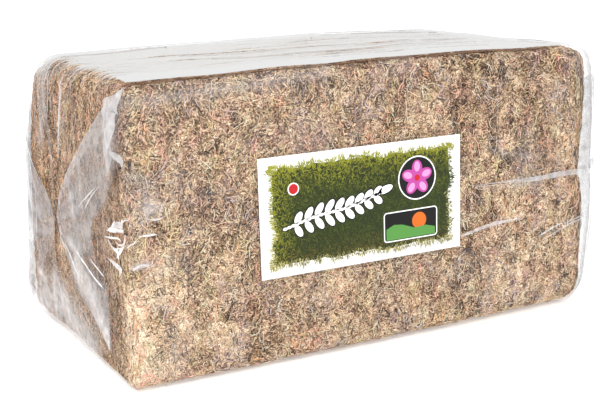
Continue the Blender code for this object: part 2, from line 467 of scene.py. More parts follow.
# Sorts of strand, each a share of all the strands; one with no rings between its tips is a sliver
StrandSort = namedtuple("StrandSort", "share rings length width bend paler")
STRAND_SORTS = (
    StrandSort(0.64, 0, (0.0032, 0.0085), (0.00065, 0.00130), 0.0, -0.04),
    StrandSort(0.29, 2, (0.0070, 0.0160), (0.00060, 0.00105), 1.2, 0.02),
    StrandSort(0.07, 4, (0.0110, 0.0240), (0.00065, 0.00115), 3.4, 0.20),
)

# Faces of the block as (axis, side, strands per square centimetre, share of the face's length)
MOSS_FACES = {
    "moss_front_left": (1, -1, 24.0, (0.0, 0.5)),
    "moss_front_right": (1, -1, 24.0, (0.5, 1.0)),
    "moss_back": (1, 1, 7.0, (0.0, 1.0)),
    "moss_top": (2, 1, 6.0, (0.0, 1.0)),
    "moss_underside": (2, -1, 3.0, (0.0, 1.0)),
    "moss_left_end": (0, -1, 12.0, (0.0, 1.0)),
    "moss_right_end": (0, 1, 8.0, (0.0, 1.0)),
}
# Heading that the strands of each axis's faces tend to, and how much they swirl and scatter
STRAND_HEADINGS = (math.pi / 2, 0.0, 0.0)
STRAND_SWIRL = 1.5
STRAND_SCATTER = 0.75
SWIRL_SIZE = 0.024
TOP_STRAND_DEPTH = 0.0002
STRAND_LAYER = 0.0018
STRAND_DIVE = 0.0016
# Share of strands near the top of their layer, and how closely they follow the hollows
DEPTH_POWER = 1.2
HOLLOW_FOLLOWING = 0.7
SLIVER_DEPTH = 0.25
# A strand's section: how flat and how large it is, how much it rolls and how uneven its rings are
STRAND_FLATNESS = 0.5
STRAND_GIRTH = 1.15
STRAND_ROLL = 0.35
RING_SWELL = (0.8, 1.15)

# Tufts of one colour are longer up the block than across it
TUFT_STRETCH = np.array((1.0, 1.0, 0.45))
TONE_PATTERNS = ((0.10, 0.045, 3.0), (0.18, 0.014, 11.0), (0.24, 0.0062, 31.0))
TONE_MIDDLE = 0.600
# The right half grows this much more uneven in tone than the left, over this reach
RIGHT_UNEVENNESS = 0.55
UNEVENNESS_REACH = 0.12
TONE_SCATTER = 0.66
END_SCATTER = 0.25
# Painted shade: how much darker a strand is made for each metre deeper it lies
DEPTH_PAINTED_SHADE = 210.0

# Tints that tufts lean to, as (colour, size of tufts, shift, greatest share, power)
ORANGE = srgb(202, 126, 82)
RUSSET = srgb(150, 98, 62)
TUFT_TINTS = (
    (ORANGE, 0.012, 23.0, 0.95, 2.0),
    (srgb(226, 164, 148), 0.015, 27.0, 1.0, 0.7),
    (srgb(244, 226, 156), 0.009, 33.0, 0.90, 1.2),
    (srgb(168, 152, 110), 0.013, 37.0, 0.65, 1.0),
    (srgb(146, 134, 140), 0.020, 41.0, 0.90, 0.8),
)
TUFT_TINT_MIDDLE = 0.20
TUFT_TINT_CONTRAST = 2.6
END_RUSSET = 0.45
LIGHTNESS_KEPT = 0.75

# Patches on the front as (x, z, radius, change of tone)
FRONT_PATCHES = (
    (-0.188, 0.176, 0.014, -0.22),
    (-0.268, 0.088, 0.020, 0.32),
    (-0.268, 0.052, 0.024, 0.40),
    (-0.268, 0.014, 0.024, 0.34),
    (-0.246, 0.060, 0.012, -0.10),
    (-0.240, 0.150, 0.010, -0.12),
    (-0.158, 0.150, 0.018, -0.12),
    (-0.146, 0.062, 0.016, -0.22),
    (-0.130, 0.022, 0.012, -0.30),
    (-0.235, 0.115, 0.010, 0.24),
    (-0.226, 0.086, 0.012, 0.26),
    (-0.218, 0.060, 0.010, 0.24),
    (-0.199, 0.046, 0.012, 0.24),
    (-0.173, 0.025, 0.012, 0.28),
    (0.059, 0.264, 0.006, -0.42),
    (0.094, 0.258, 0.005, -0.38),
    (0.122, 0.272, 0.008, -0.28),
    (0.205, 0.222, 0.007, -0.36),
    (0.136, 0.199, 0.004, -0.50),
    (0.149, 0.192, 0.006, 0.34),
    (0.170, 0.184, 0.005, -0.45),
    (0.143, 0.173, 0.011, -0.34),
    (0.164, 0.174, 0.010, -0.26),
    (0.138, 0.122, 0.007, -0.45),
    (0.115, 0.074, 0.008, -0.35),
    (0.104, 0.088, 0.006, -0.35),
    (0.159, 0.070, 0.007, -0.28),
    (0.161, 0.084, 0.007, 0.22),
    (0.167, 0.064, 0.007, 0.24),
    (0.170, 0.050, 0.007, 0.24),
    (0.150, 0.235, 0.030, 0.08),
    (0.225, 0.035, 0.020, -0.10),
)
END_TONE = -0.10
FRONT_FALL = 0.45
FRONT_Y = (0.120, 0.030)
# The left end's own tone starts past this x, and is weaker at the corner to the front
LEFT_END_X = (0.265, 0.008)
CORNER_SHARE = 0.3
CORNER_Y = (-0.150, 0.040)


def hollows(places):
    """Depth of the small hollows between clumps of moss."""
    small = noise_at(places, SMALL_HOLLOW_SIZE, shift=7.0)
    return HOLLOW_DEPTH * (1 + noise_at(places, HOLLOW_SIZE) + SMALL_HOLLOW_SHARE * small)


def left_end_share(places):
    """1 on the left end, and less where it turns into the front."""
    past_corner = soft_rise(places[:, 1], *CORNER_Y)
    return soft_rise(-places[:, 0], *LEFT_END_X) * (CORNER_SHARE + (1 - CORNER_SHARE) * past_corner)


def patch_tones(places):
    """How much paler or darker the moss is from place to place."""
    tones = END_TONE * left_end_share(places)
    on_front = soft_rise(-places[:, 1], *FRONT_Y)
    tones -= FRONT_FALL * (places[:, 2] - CENTRE[2]) * on_front
    uneven = 1 + RIGHT_UNEVENNESS * smooth_step(places[:, 0] / UNEVENNESS_REACH)
    for share, size, shift in TONE_PATTERNS:
        tones += share * uneven * noise_at(places * TUFT_STRETCH, size, shift)
    for x, z, radius, change in FRONT_PATCHES:
        reach = np.hypot(places[:, 0] - x, places[:, 2] - z) / radius
        tones += change * np.exp(-reach ** 2) * on_front
    return tones


# How far the moss reaches past the block's front right edge, by height
EDGE_REACHES = np.array((
    (0.030, 0.0), (0.053, 0.0010), (0.077, 0.0024), (0.102, 0.0022), (0.132, 0.0012), (0.143, -0.0020),
    (0.150, -0.0042), (0.157, -0.0024), (0.170, 0.0), (0.190, 0.0010), (0.215, 0.0022), (0.240, 0.0018),
    (0.265, 0.0),
))
EDGE_X = (0.245, 0.02)
EDGE_Y = (0.115, 0.03)


def moss_surface(points):
    """The block's surface with the swell of its left end and the uneven front right edge."""
    places, outward = block_surface(points)
    at_edge = soft_rise(places[:, 0], *EDGE_X) * soft_rise(-places[:, 1], *EDGE_Y)
    reach = at_edge * np.interp(places[:, 2], *EDGE_REACHES.T)
    places[:, 0] += reach - back_bulge(places) * end_share(outward)
    return places, outward


def add_moss_core(material):
    """The matted mass under the strands, closed, with small hollows all over."""
    lines = [np.linspace(-half, half, int(2 * half / CORE_SPACING) + 1) for half in HALF]
    points, faces = box_grid(lines)
    places, outward = moss_surface(points)
    sunk = places - outward * (CORE_DEPTH + hollows(places))[:, None]
    make_piece("moss_core", sunk, faces, material, "moss", patch=patch_tones(places))


def tone_colours(tones):
    """Colours for tones from 0, darkest, to 1, palest."""
    stops = np.array([stop for stop, colour in MOSS_TONES])
    colours = np.array([colour for stop, colour in MOSS_TONES])
    return np.stack([np.interp(tones, stops, colours[:, channel]) for channel in range(3)], axis=1)


def lean(colours, tint, share):
    """Colours drawn towards a tint, keeping some of their own lightness."""
    lightness = colours.mean(axis=1, keepdims=True) / tint.mean()
    target = tint * (1 - LIGHTNESS_KEPT + LIGHTNESS_KEPT * lightness)
    return colours + (target - colours) * np.clip(share, 0, 1)[:, None]


def strand_colours(rng, places, depth, paler):
    """Each strand's colour, from its place, a random share, and its depth, which paints shade on the deeper
    strands.
    """
    count = len(places)
    at_end = left_end_share(places)
    scatter = rng.normal(0.0, TONE_SCATTER, count) * (1 + END_SCATTER * at_end)
    # Painted shade: deeper strands are made darker
    darker = DEPTH_PAINTED_SHADE * (depth - TOP_STRAND_DEPTH - STRAND_LAYER / 2)
    tone = TONE_MIDDLE + paler + patch_tones(places) + scatter - darker
    colours = tone_colours(np.clip(tone, 0, 1))
    for tint, size, shift, share, power in TUFT_TINTS:
        tuft = noise_at(places * TUFT_STRETCH, size, shift)
        field = np.clip(TUFT_TINT_MIDDLE + TUFT_TINT_CONTRAST * tuft, 0, 1)
        colours = lean(colours, tint, share * field * rng.random(count) ** power)
    return lean(colours, RUSSET, END_RUSSET * at_end)


def strand_paths(rng, face, count, sort):
    """Bent paths of strands on one face, as places, outward directions, depths and lengths run."""
    axis, side, _, stretch = face
    first, second = (axis + 1) % 3, (axis + 2) % 3
    segments = max(sort.rings, 1) + 1
    length = rng.uniform(*sort.length, count)
    start_along = rng.uniform(-HALF[first], HALF[first], count)
    start_across = (rng.uniform(*stretch, count) * 2 - 1) * HALF[second]
    middle = on_box(axis, side, start_along, start_across)
    swirl = noise_at(middle, SWIRL_SIZE, shift=5.0 + axis) * STRAND_SWIRL
    angle = STRAND_HEADINGS[axis] + swirl + rng.normal(0.0, STRAND_SCATTER, count)
    bend = rng.normal(0.0, sort.bend, count)
    turn = (np.arange(segments) + 0.5) / segments - 0.5
    headings = angle[:, None] + bend[:, None] * turn[None, :]
    step = (length / segments)[:, None]
    zeros = np.zeros((count, 1))
    along = np.concatenate([zeros, np.cumsum(np.cos(headings) * step, axis=1)], axis=1)
    across = np.concatenate([zeros, np.cumsum(np.sin(headings) * step, axis=1)], axis=1)
    along += start_along[:, None] - along.mean(axis=1, keepdims=True)
    across += start_across[:, None] - across.mean(axis=1, keepdims=True)
    points = on_box(axis, side, along.ravel(), across.ravel())
    places, outward = moss_surface(points)
    depth = TOP_STRAND_DEPTH + STRAND_LAYER * rng.random(count) ** DEPTH_POWER
    share = np.linspace(0, 1, segments + 1)[None, :]
    dive_in = rng.uniform(0, STRAND_DIVE, (count, 1)) * (1 - share) ** 2
    dive_out = rng.uniform(0, STRAND_DIVE, (count, 1)) * share ** 2
    hollow = HOLLOW_FOLLOWING * hollows(places).reshape(count, -1)
    below = depth[:, None] + dive_in + dive_out + hollow
    places = places - outward * below.reshape(-1, 1)
    shape = (count, segments + 1, 3)
    return places.reshape(shape), outward.reshape(shape), depth, length[:, None] * share


def sliver_mesh(paths, outward, widths):
    """Closed slivers of four triangles: two tips and two sides. Their points and triangles."""
    middle = paths[:, 1]
    up = outward[:, 1]
    side = unit(np.cross(paths[:, -1] - paths[:, 0], up))
    half = side * widths[:, None] / 2
    low = middle - up * widths[:, None] * SLIVER_DEPTH
    points = np.stack([paths[:, 0], low + half, low - half, paths[:, -1]], axis=1)
    triangles = np.array(((0, 1, 3), (0, 3, 2), (0, 2, 1), (3, 1, 2)))
    faces = triangles[None] + (np.arange(len(paths)) * 4)[:, None, None]
    return points.reshape(-1, 3), faces.reshape(-1, 3)


def strand_mesh(rng, paths, outward, widths):
    """Closed three-sided strands, pointed at both tips: their points and triangles."""
    count, stations, _ = paths.shape
    rings = stations - 2
    tangent = unit(np.gradient(paths, axis=1))
    sideways = unit(np.cross(tangent, outward))
    upward = np.cross(sideways, tangent)
    roll = rng.normal(0.0, STRAND_ROLL, (count, 1, 1))
    side_dir = (sideways * np.cos(roll) + upward * np.sin(roll))[:, 1:-1]
    up_dir = (upward * np.cos(roll) - sideways * np.sin(roll))[:, 1:-1]
    swell = rng.uniform(*RING_SWELL, (count, rings, 1))
    corners = []
    for turn in (90, 210, 330):
        out = math.cos(math.radians(turn)) * side_dir
        lift = STRAND_FLATNESS * math.sin(math.radians(turn)) * up_dir
        corners.append(paths[:, 1:-1] + (out + lift) * swell * widths[:, None, None] / 2 * STRAND_GIRTH)
    ring_points = np.stack(corners, axis=2).reshape(count, rings * 3, 3)
    points = np.concatenate([paths[:, :1], ring_points, paths[:, -1:]], axis=1)
    last = rings * 3 + 1
    triangles = []
    for corner in range(3):
        after = (corner + 1) % 3
        triangles.append((0, 1 + after, 1 + corner))
        triangles.append((last, last - 3 + corner, last - 3 + after))
        for ring in range(rings - 1):
            low, high = 1 + ring * 3, 4 + ring * 3
            triangles.append((low + corner, low + after, high + after))
            triangles.append((low + corner, high + after, high + corner))
    faces = np.array(triangles)[None] + (np.arange(count) * (last + 1))[:, None, None]
    return points.reshape(-1, 3), faces.reshape(-1, 3)


def add_moss_face(name, number, material):
    """All the strands of one face of the block, or of one stretch of it."""
    face = MOSS_FACES[name]
    axis, _, density, stretch = face
    rng = np.random.default_rng(SEED + number)
    area_cm2 = np.prod(np.delete(BLOCK_SIZE, axis)) * 1e4 * (stretch[1] - stretch[0])
    strands = Gathering()
    for sort in STRAND_SORTS:
        count = int(area_cm2 * density * sort.share)
        paths, outward, depth, run = strand_paths(rng, face, count, sort)
        widths = rng.uniform(*sort.width, count)
        colours = strand_colours(rng, paths[:, paths.shape[1] // 2], depth, sort.paler)
        if sort.rings:
            points, faces = strand_mesh(rng, paths, outward, widths)
        else:
            points, faces = sliver_mesh(paths, outward, widths)
        per_strand = len(points) // count
        per_ring = 3 if sort.rings else 2
        rings_run = np.repeat(run[:, 1:-1], per_ring, axis=1)
        along = np.concatenate([run[:, :1], rings_run, run[:, -1:]], axis=1).ravel()
        strands.add(points, faces, tint=np.repeat(colours, per_strand, axis=0), along=along)
    strands.piece(name, material, "moss")


# Where the film's gloss ends, below the sharp top edge of the front, as (x, depth)
RIM_DEPTHS = np.array((
    (-0.270, 0.0037), (-0.250, 0.0032), (-0.225, 0.0012), (-0.200, -0.0004), (-0.150, -0.0016),
    (-0.080, -0.0020), (-0.030, -0.0043), (0.030, -0.0058), (0.100, -0.0066), (0.150, -0.0072),
    (0.200, -0.0088), (0.230, -0.0098),
))
RIM_STRANDS = 620
RIM_STATIONS = 4
RIM_X = (-0.262, 0.215)
RIM_LENGTH = (0.006, 0.014)
RIM_BAND = 0.0017
RIM_WAVER = 0.0004
RIM_SINK = (0.0001, 0.0012)
RIM_WIDTH = (0.0007, 0.0011)
RIM_TINTS = (srgb(122, 86, 62), srgb(196, 154, 120))
RIM_TINT_POWER = 1.5
RIM_RUN = 0.01


def rim_depth(x):
    """How far below the sharp top edge of the front the film's gloss ends."""
    return np.interp(x, *RIM_DEPTHS.T)


def add_moss_rim(material):
    """Brown strands that run along the top of the front, at the edge of the film's gloss."""
    rng = np.random.default_rng(SEED + 30)
    shape = (RIM_STRANDS, RIM_STATIONS)
    middle = rng.uniform(*RIM_X, (RIM_STRANDS, 1))
    share = np.linspace(-0.5, 0.5, RIM_STATIONS)[None, :]
    across = middle + rng.uniform(*RIM_LENGTH, (RIM_STRANDS, 1)) * share
    below = rng.uniform(0, RIM_BAND, (RIM_STRANDS, 1)) + rng.normal(0, RIM_WAVER, shape)
    along = HALF[2] - rim_depth(across) - below
    places, outward = moss_surface(on_box(1, -1, along.ravel(), across.ravel()))
    places -= outward * np.repeat(rng.uniform(*RIM_SINK, RIM_STRANDS), RIM_STATIONS)[:, None]
    widths = rng.uniform(*RIM_WIDTH, RIM_STRANDS)
    points, faces = strand_mesh(rng, places.reshape(*shape, 3), outward.reshape(*shape, 3), widths)
    dark, pale = RIM_TINTS
    tints = dark + (pale - dark) * rng.random((RIM_STRANDS, 1)) ** RIM_TINT_POWER
    per_strand = len(points) // RIM_STRANDS
    make_piece("moss_rim", points, faces, material, "moss", tint=np.repeat(tints, per_strand, axis=0),
               along=np.tile(np.linspace(0, RIM_RUN, per_strand), RIM_STRANDS))


def add_moss(strands):
    add_moss_core(moss_core_material())
    for number, name in enumerate(MOSS_FACES):
        add_moss_face(name, number, strands)
    add_moss_rim(strands)


# Film

# Share of light that the film mirrors, from face on, 0, to edge on, 1
FILM_GLOSS_CURVE = ((0.0, 0.02), (0.68, 0.03), (0.76, 0.07), (0.81, 0.35), (0.86, 0.86), (1.0, 0.97))
# The milky film's colours, whose haze is partly real: the grey is partly painted shade, for darker
# surroundings the film would reflect, and the white partly a painted highlight of the creases
MILK_GREY_SHADE = (0.365, 0.350, 0.362)
MILK_WHITE_HIGHLIGHT = (0.84, 0.83, 0.835)
FILM_CLEAR = (0.985, 0.988, 0.99, 1.0)
FILM_MIRROR = (0.84, 0.845, 0.84, 1.0)
FILM_ROUGHNESS = 0.07
# Fine crinkle of the film, the levels it is read between and how it clouds the milky places
CRINKLE = {"Scale": 120.0, "Detail": 4.0, "Roughness": 0.6}
CRINKLE_LEVELS = (0.35, 0.65)
CLOUDING = (0.70, 1.30)
FILM_VALUES = ("slant", "haze", "whiteness", "shine")
MOST_HAZE = 0.9


def gloss_curve(tree, slanted):
    """The share of light that the film mirrors, from how slanted it is seen."""
    gloss = add_node(tree, "FloatCurve", Value=slanted)
    curve = gloss.mapping.curves[0]
    for place, (x, y) in enumerate(FILM_GLOSS_CURVE):
        if place < 2:
            curve.points[place].location = (x, y)
        else:
            curve.points.new(x, y)
    gloss.mapping.update()
    return gloss


def film_material():
    """Clear film: see-through face on, mirror-like at a slant, and milky where it is creased; the milk is
    partly painted shade where it is grey and partly a painted highlight where it is white.
    """
    material, tree = new_material("clear_film")
    slant, haze, whiteness, shine = (point_value(tree, name) for name in FILM_VALUES)
    crinkle = add_node(tree, "TexNoise", Vector=own_place(tree), **CRINKLE)
    bump = add_node(tree, "Bump", Strength=0.14, Distance=0.0010, Height=crinkle)
    facing = add_node(tree, "LayerWeight", Blend=0.5, Normal=bump).outputs["Facing"]
    slanted = add_node(tree, "Math", facing, slant, operation="ADD", use_clamp=True)
    shiny = add_node(tree, "Math", gloss_curve(tree, slanted), shine, operation="MULTIPLY")
    clear = add_node(tree, "BsdfTransparent", FILM_CLEAR)
    mirror = add_node(tree, "BsdfGlossy", FILM_MIRROR, Roughness=FILM_ROUGHNESS, Normal=bump)
    glossy = add_node(tree, "MixShader", shiny, clear, mirror)
    milk = colour_ramp(tree, whiteness, ((0.0, MILK_GREY_SHADE), (1.0, MILK_WHITE_HIGHLIGHT)))
    milky = add_node(tree, "BsdfPrincipled", milk, Roughness=0.40, Specular_IOR_Level=0.35, Normal=bump)
    cloud = add_node(tree, "MapRange", crinkle, *CRINKLE_LEVELS, *CLOUDING)
    cloudy = add_node(tree, "Math", haze, cloud, operation="MULTIPLY", use_clamp=True)
    add_node(tree, "OutputMaterial", add_node(tree, "MixShader", cloudy, glossy, milky))
    return material


def film_values(haze, milk, shine, slant=0.0):
    """What the film's points carry, from their haze and their haze times whiteness."""
    whiteness = np.clip(milk / np.maximum(haze, 0.01), 0, 1)
    values = slant, np.clip(haze, 0, MOST_HAZE), whiteness, shine
    return {name: np.broadcast_to(value, haze.shape) for name, value in zip(FILM_VALUES, values)}


# Film grid: fine near the ends, coarse along the length
FILM_END_ZONE = 0.060
FILM_FINE = (0.0025, 0.0022, 0.0026)
FILM_RIM_ZONE = 0.013
FILM_RIM_STEP = 0.0010
FILM_COARSE = 0.0105


def film_lines():
    """Mesh lines of the film's skin along X, Y and Z."""
    zone = np.arange(0, FILM_END_ZONE, FILM_FINE[0])
    middle = np.linspace(-HALF[0] + FILM_END_ZONE, HALF[0] - FILM_END_ZONE,
                         int((BLOCK_SIZE[0] - 2 * FILM_END_ZONE) / FILM_COARSE) + 1)
    along = np.concatenate([-HALF[0] + zone, middle, np.sort(HALF[0] - zone)])
    across = np.linspace(-HALF[1], HALF[1], int(2 * HALF[1] / FILM_FINE[1]) + 1)
    rim_start = HALF[2] - FILM_RIM_ZONE
    upward = np.linspace(-HALF[2], rim_start, int((rim_start + HALF[2]) / FILM_FINE[2]) + 1)
    rim = np.linspace(rim_start, HALF[2], int(FILM_RIM_ZONE / FILM_RIM_STEP) + 1)
    return [along, across, np.concatenate([upward, rim[1:]])]


def path_distance(spots, path):
    """How far flat points lie from a path, and how far along it their nearest point is, 0 to 1."""
    lengths = np.linalg.norm(np.diff(path, axis=0), axis=1)
    before = np.concatenate([[0.0], np.cumsum(lengths)])
    nearest = np.full(len(spots), 1e9)
    share = np.zeros(len(spots))
    for start, stop, length, passed in zip(path, path[1:], lengths, before):
        step = (stop - start) / length
        along = np.clip((spots - start) @ step, 0, length)
        gap = np.linalg.norm(spots - start - along[:, None] * step, axis=1)
        closer = gap < nearest
        nearest = np.where(closer, gap, nearest)
        share = np.where(closer, (passed + along) / before[-1], share)
    return nearest, share


MM = 0.001
STROKE_FADE = 0.15


def strokes_at(spots, strokes, share):
    """Height, haze and haze times whiteness that strokes of creased film add at flat points."""
    added = np.zeros((3, len(spots)))
    for path, width, rise, haze, white in strokes:
        gap, along = path_distance(spots, np.array(path) * MM)
        ends = smooth_step(along / STROKE_FADE) * smooth_step((1 - along) / STROKE_FADE)
        ridge = np.exp(-(gap / (width * MM)) ** 2) * ends * share
        added += ridge * np.array((rise * MM, haze, haze * white))[:, None]
    return added


# Soft strokes of creased film in mm, as (path, width, height, haze, whiteness), their white milk partly a
# painted highlight of the creases: x and z on the front
FRONT_STROKES = (
    (((148, 152), (190, 151), (235, 153), (266, 151)), 3.0, 1.0, 0.10, 0.6),
    (((110, 145), (160, 148), (210, 146)), 2.0, 0.8, 0.10, 0.5),
    (((95, 101), (119, 107), (152, 111), (180, 112)), 3.0, 1.0, 0.12, 0.7),
    (((196, 84), (222, 93), (256, 101)), 4.0, 0.8, 0.10, 0.6),
    (((97, 187), (116, 190), (140, 188)), 3.0, 0.6, 0.12, 0.4),
    (((137, 184), (167, 180), (196, 174)), 3.5, 0.6, 0.16, 0.1),
    (((-256, 176), (-244, 175), (-232, 171)), 6.0, 0.4, 0.20, 0.8),
    (((-267, 120), (-258, 123), (-246, 122)), 3.0, 0.6, 0.26, 0.8),
    (((-290, 270), (-240, 271), (-200, 274), (-120, 279), (-40, 284)), 6.0, 0.0, 0.15, 0.6),
    (((-262, 212), (-250, 190), (-246, 160)), 8.0, 0.0, 0.10, 0.35),
    (((-196, 182), (-170, 172), (-146, 176)), 9.0, 0.0, 0.12, 0.05),
    (((-120, 232), (-112, 214), (-108, 200)), 6.0, 0.0, 0.16, 0.0),
)

# x and z on the back
BACK_STROKES = (
    (((-240, 60), (-150, 68), (-60, 62), (30, 70)), 3.0, 0.8, 0.12, 0.6),
    (((-200, 210), (-90, 204), (10, 212), (120, 206)), 3.0, 0.8, 0.12, 0.6),
    (((90, 137), (140, 139), (190, 136), (255, 141)), 4.0, 1.0, 0.16, 0.6),
    (((-262, 150), (-190, 146), (-120, 152)), 4.0, 0.8, 0.14, 0.5),
    (((80, 40), (150, 52), (240, 48)), 2.5, 0.7, 0.12, 0.6),
    (((-262, 90), (-220, 96), (-180, 92)), 3.0, 0.8, 0.16, 0.7),
    (((-60, 252), (40, 246), (150, 250)), 4.0, 0.6, 0.12, 0.4),
    (((-262, 215), (-236, 196), (-228, 160)), 8.0, 0.3, 0.14, 0.4),
)

# x and y on the underside, with the film's long seam
UNDERSIDE_STROKES = (
    (((-262, 18), (-120, 21), (0, 20), (120, 17), (262, 18)), 8.0, 0.0, 0.36, 0.6),
    (((-262, 26), (-120, 29), (0, 28), (120, 25), (262, 26)), 1.6, 0.0, 0.30, 0.9),
    (((-240, -80), (-80, -72), (90, -84), (240, -76)), 3.0, 0.0, 0.18, 0.6),
    (((-230, 96), (-60, 88), (110, 98), (236, 90)), 3.0, 0.0, 0.18, 0.6),
)

# x and y on the top
TOP_STROKES = (
    (((-230, -8), (-165, -4), (-108, -15), (-48, -26), (13, -30), (60, -38), (116, -36),
      (201, -23)), 2.6, 0.9, 0, 0),
    (((-210, -50), (-151, -57), (-111, -68), (-23, -88), (49, -82), (109, -98),
      (182, -84)), 2.6, 0.8, 0, 0),
    (((-100, -134), (-60, -136), (11, -124), (45, -131), (114, -138)), 2.4, 0.7, 0, 0),
    (((-90, -112), (-42, -107), (-2, -108), (50, -106)), 2.4, 0.6, 0, 0),
    (((-40, 26), (60, 36), (140, 30), (220, 12)), 2.6, 0.7, 0, 0),
    (((60, 112), (136, 108), (212, 98)), 2.8, 1.2, 0, 0),
    (((-200, 96), (-120, 104), (-30, 108)), 2.6, 0.6, 0, 0),
    (((206, -104), (210, -122), (214, -142)), 5.0, 1.2, 0.35, 0),
    (((-190, -105), (-60, -100), (50, -104)), 2.4, 0.4, 0, 0),
    (((-140, -30), (-20, -48), (120, -62), (190, -52)), 2.4, 0.5, 0, 0),
    (((-120, 10), (0, 4), (120, -6), (210, 4)), 2.4, 0.5, 0, 0),
)

# y and z on the two ends
END_STROKES = {
    -1: (
        (((84, 287), (58, 276), (56, 261), (60, 245), (69, 228), (78, 211),
          (86, 192)), 8.0, 0.8, 0.34, 0.20),
        (((5, 280), (1, 267), (9, 251), (15, 235), (20, 220), (24, 202)), 3.5, 0.7, 0.34, 0.7),
        (((-45, 287), (-20, 262), (-2, 240), (8, 222)), 3.0, 0.6, 0.12, 0.6),
        (((118, 280), (116, 245), (112, 215)), 4.0, 0.8, 0.14, 0.5),
        (((150, 250), (152, 180), (152, 130), (150, 95)), 18.0, 0.0, 0.66, 0.10),
        (((153, 88), (154, 50), (148, 14)), 12.0, 0.0, 0.62, 0.55),
        (((84, 96), (96, 74), (100, 56)), 12.0, 0.0, 0.20, 0.4),
        (((200, -8), (140, 14), (82, 32), (22, 25), (-37, 16), (-84, 6)), 26.0, 0.0, 0.44, 0.90),
        (((70, 72), (50, 52), (20, 40)), 15.0, 0.0, 0.20, 0.85),
        (((112, 62), (98, 57), (84, 51)), 4.0, 1.0, 0.30, 0.95),
        (((126, 62), (131, 46), (134, 24)), 4.0, -0.5, -0.22, 0.9),
        (((60, 100), (58, 80), (50, 55), (44, 30)), 3.0, 0.8, 0.16, 0.4),
        (((20, 45), (0, 26), (-12, 8)), 3.0, 0.7, 0.14, 0.5),
    ),
    1: (
        (((-149, 340), (-149, 200), (-149, 100), (-149, -40)), 14.0, 0.0, 0.74, 0.14),
        (((-60, 286), (-40, 240), (-20, 200)), 6.0, 1.0, 0.24, 0.5),
        (((10, 288), (12, 230), (20, 170)), 4.0, 1.0, 0.26, 0.7),
        (((70, 284), (62, 240), (50, 196)), 6.0, 1.0, 0.26, 0.45),
        (((110, 276), (96, 246), (84, 220)), 3.0, 0.8, 0.28, 0.8),
        (((-120, 12), (-40, 34), (30, 44), (110, 14)), 22.0, 0.0, 0.40, 0.9),
        (((-100, 10), (-60, 36), (-20, 70)), 3.0, 1.0, 0.26, 0.7),
        (((80, 10), (60, 50), (46, 86)), 3.0, 1.0, 0.26, 0.7),
        (((156, 250), (157, 190), (157, 120), (155, 40)), 9.0, 0.0, 0.44, 0.3),
    ),
}
FLAP_STROKES = {
    "film_left_front_flap": (
        (((-10, 104), (-35, 90), (-62, 80), (-84, 68), (-102, 50), (-114, 32),
          (-118, 18)), 13.0, 0.8, 0.30, 1.2),
        (((-80, 170), (-86, 150), (-86, 132)), 9.0, 0.0, 0.16, -0.5),
        (((-42, 104), (-74, 108), (-96, 104), (-88, 92)), 9.0, 0.0, -0.22, 0.4),
        (((-116, 250), (-122, 236), (-112, 216)), 9.0, 0.0, -0.14, 0.3),
        (((28, 155), (30, 130), (31, 109), (30, 92)), 4.0, 0.8, 0.24, 1.0),
        (((-10, 190), (-22, 160), (-26, 132)), 6.0, 0.7, 0.12, 0.9),
        (((-50, 215), (-56, 185), (-58, 150)), 5.0, 0.6, 0.10, 0.8),
        (((8, 120), (-14, 112), (-40, 116)), 5.0, 0.8, 0.14, 0.8),
        (((-26, 60), (-57, 42), (-84, 22)), 4.0, 0.8, 0.10, -0.2),
    ),
    "film_left_back_flap": (
        (((156, 150), (152, 90), (150, 60)), 9.0, 0.1, 0.44, 0.30),
        (((142, 200), (124, 160), (112, 120), (108, 84)), 5.0, 0.8, 0.12, 0.9),
        (((118, 180), (96, 150), (90, 112)), 5.0, 0.8, 0.12, -0.2),
        (((136, 130), (120, 104), (104, 92)), 4.0, 0.9, 0.20, 1.0),
    ),
    "film_right_front_flap": (
        (((-150, 250), (-120, 215), (-70, 170), (-20, 130)), 4.0, 1.0, 0.20, 0.9),
        (((-154, 190), (-110, 160), (-50, 132)), 3.0, 1.0, 0.22, 1.0),
        (((-154, 152), (-120, 146), (-80, 134)), 4.0, 1.0, 0.26, 1.2),
        (((-152, 90), (-110, 96), (-50, 106)), 3.0, 0.8, 0.22, 1.0),
        (((-150, 40), (-100, 64), (-40, 92)), 10.0, 0.8, 0.30, 1.2),
    ),
    "film_right_back_flap": (
        (((150, 236), (120, 200), (80, 158)), 4.0, 1.0, 0.24, 1.0),
        (((152, 170), (120, 150), (70, 128)), 3.0, 1.0, 0.26, 1.1),
        (((152, 100), (116, 104), (66, 112)), 3.0, 0.8, 0.20, 0.9),
        (((150, 50), (116, 72), (76, 96)), 9.0, 0.8, 0.26, 1.2),
    ),
}

# How the film's faces and ends are told apart by its outward direction
FACE_SHARPNESS = 1.6
FACE_START = 0.3
END_FACING = (0.25, 0.5)

# Long shallow ripples, in mm: how far from the middle they lie and reach, their drift, width and height
RANDOM_RIPPLES = 9
RIPPLE_MIDDLE = 150
RIPPLE_REACH = (50, 140)
RIPPLE_SPREAD = 0.88
RIPPLE_DRIFT = 6
RIPPLE_WIDTH = (1.8, 3)
RIPPLE_HEIGHT = (0.4, 1.0)
TOP_RIPPLES = 0.5
UNDERSIDE_RIPPLES = 0.3

# Small ripples that fan in from the ends on the top, as (size of the lumps, shift, share)
FAN_RIPPLES = (((0.050, 0.0050, 0.050), 71.0, 1.0), ((0.07, 0.011, 0.07), 77.0, 0.6))
FAN_HEIGHT = 0.0006
FAN_REACH = 0.085

# Faint haze that the whole skin has: its least and its patches, of a size, contrast and share
VEIL_LEAST = 0.02
VEIL_PATCHES = 0.10
VEIL_SIZE = 0.050
VEIL_CONTRAST = 1.5
VEIL_CLEAR = 0.25
VEIL_WHITENESS = 0.5
VEIL_LOSS_AT_ENDS = 0.8
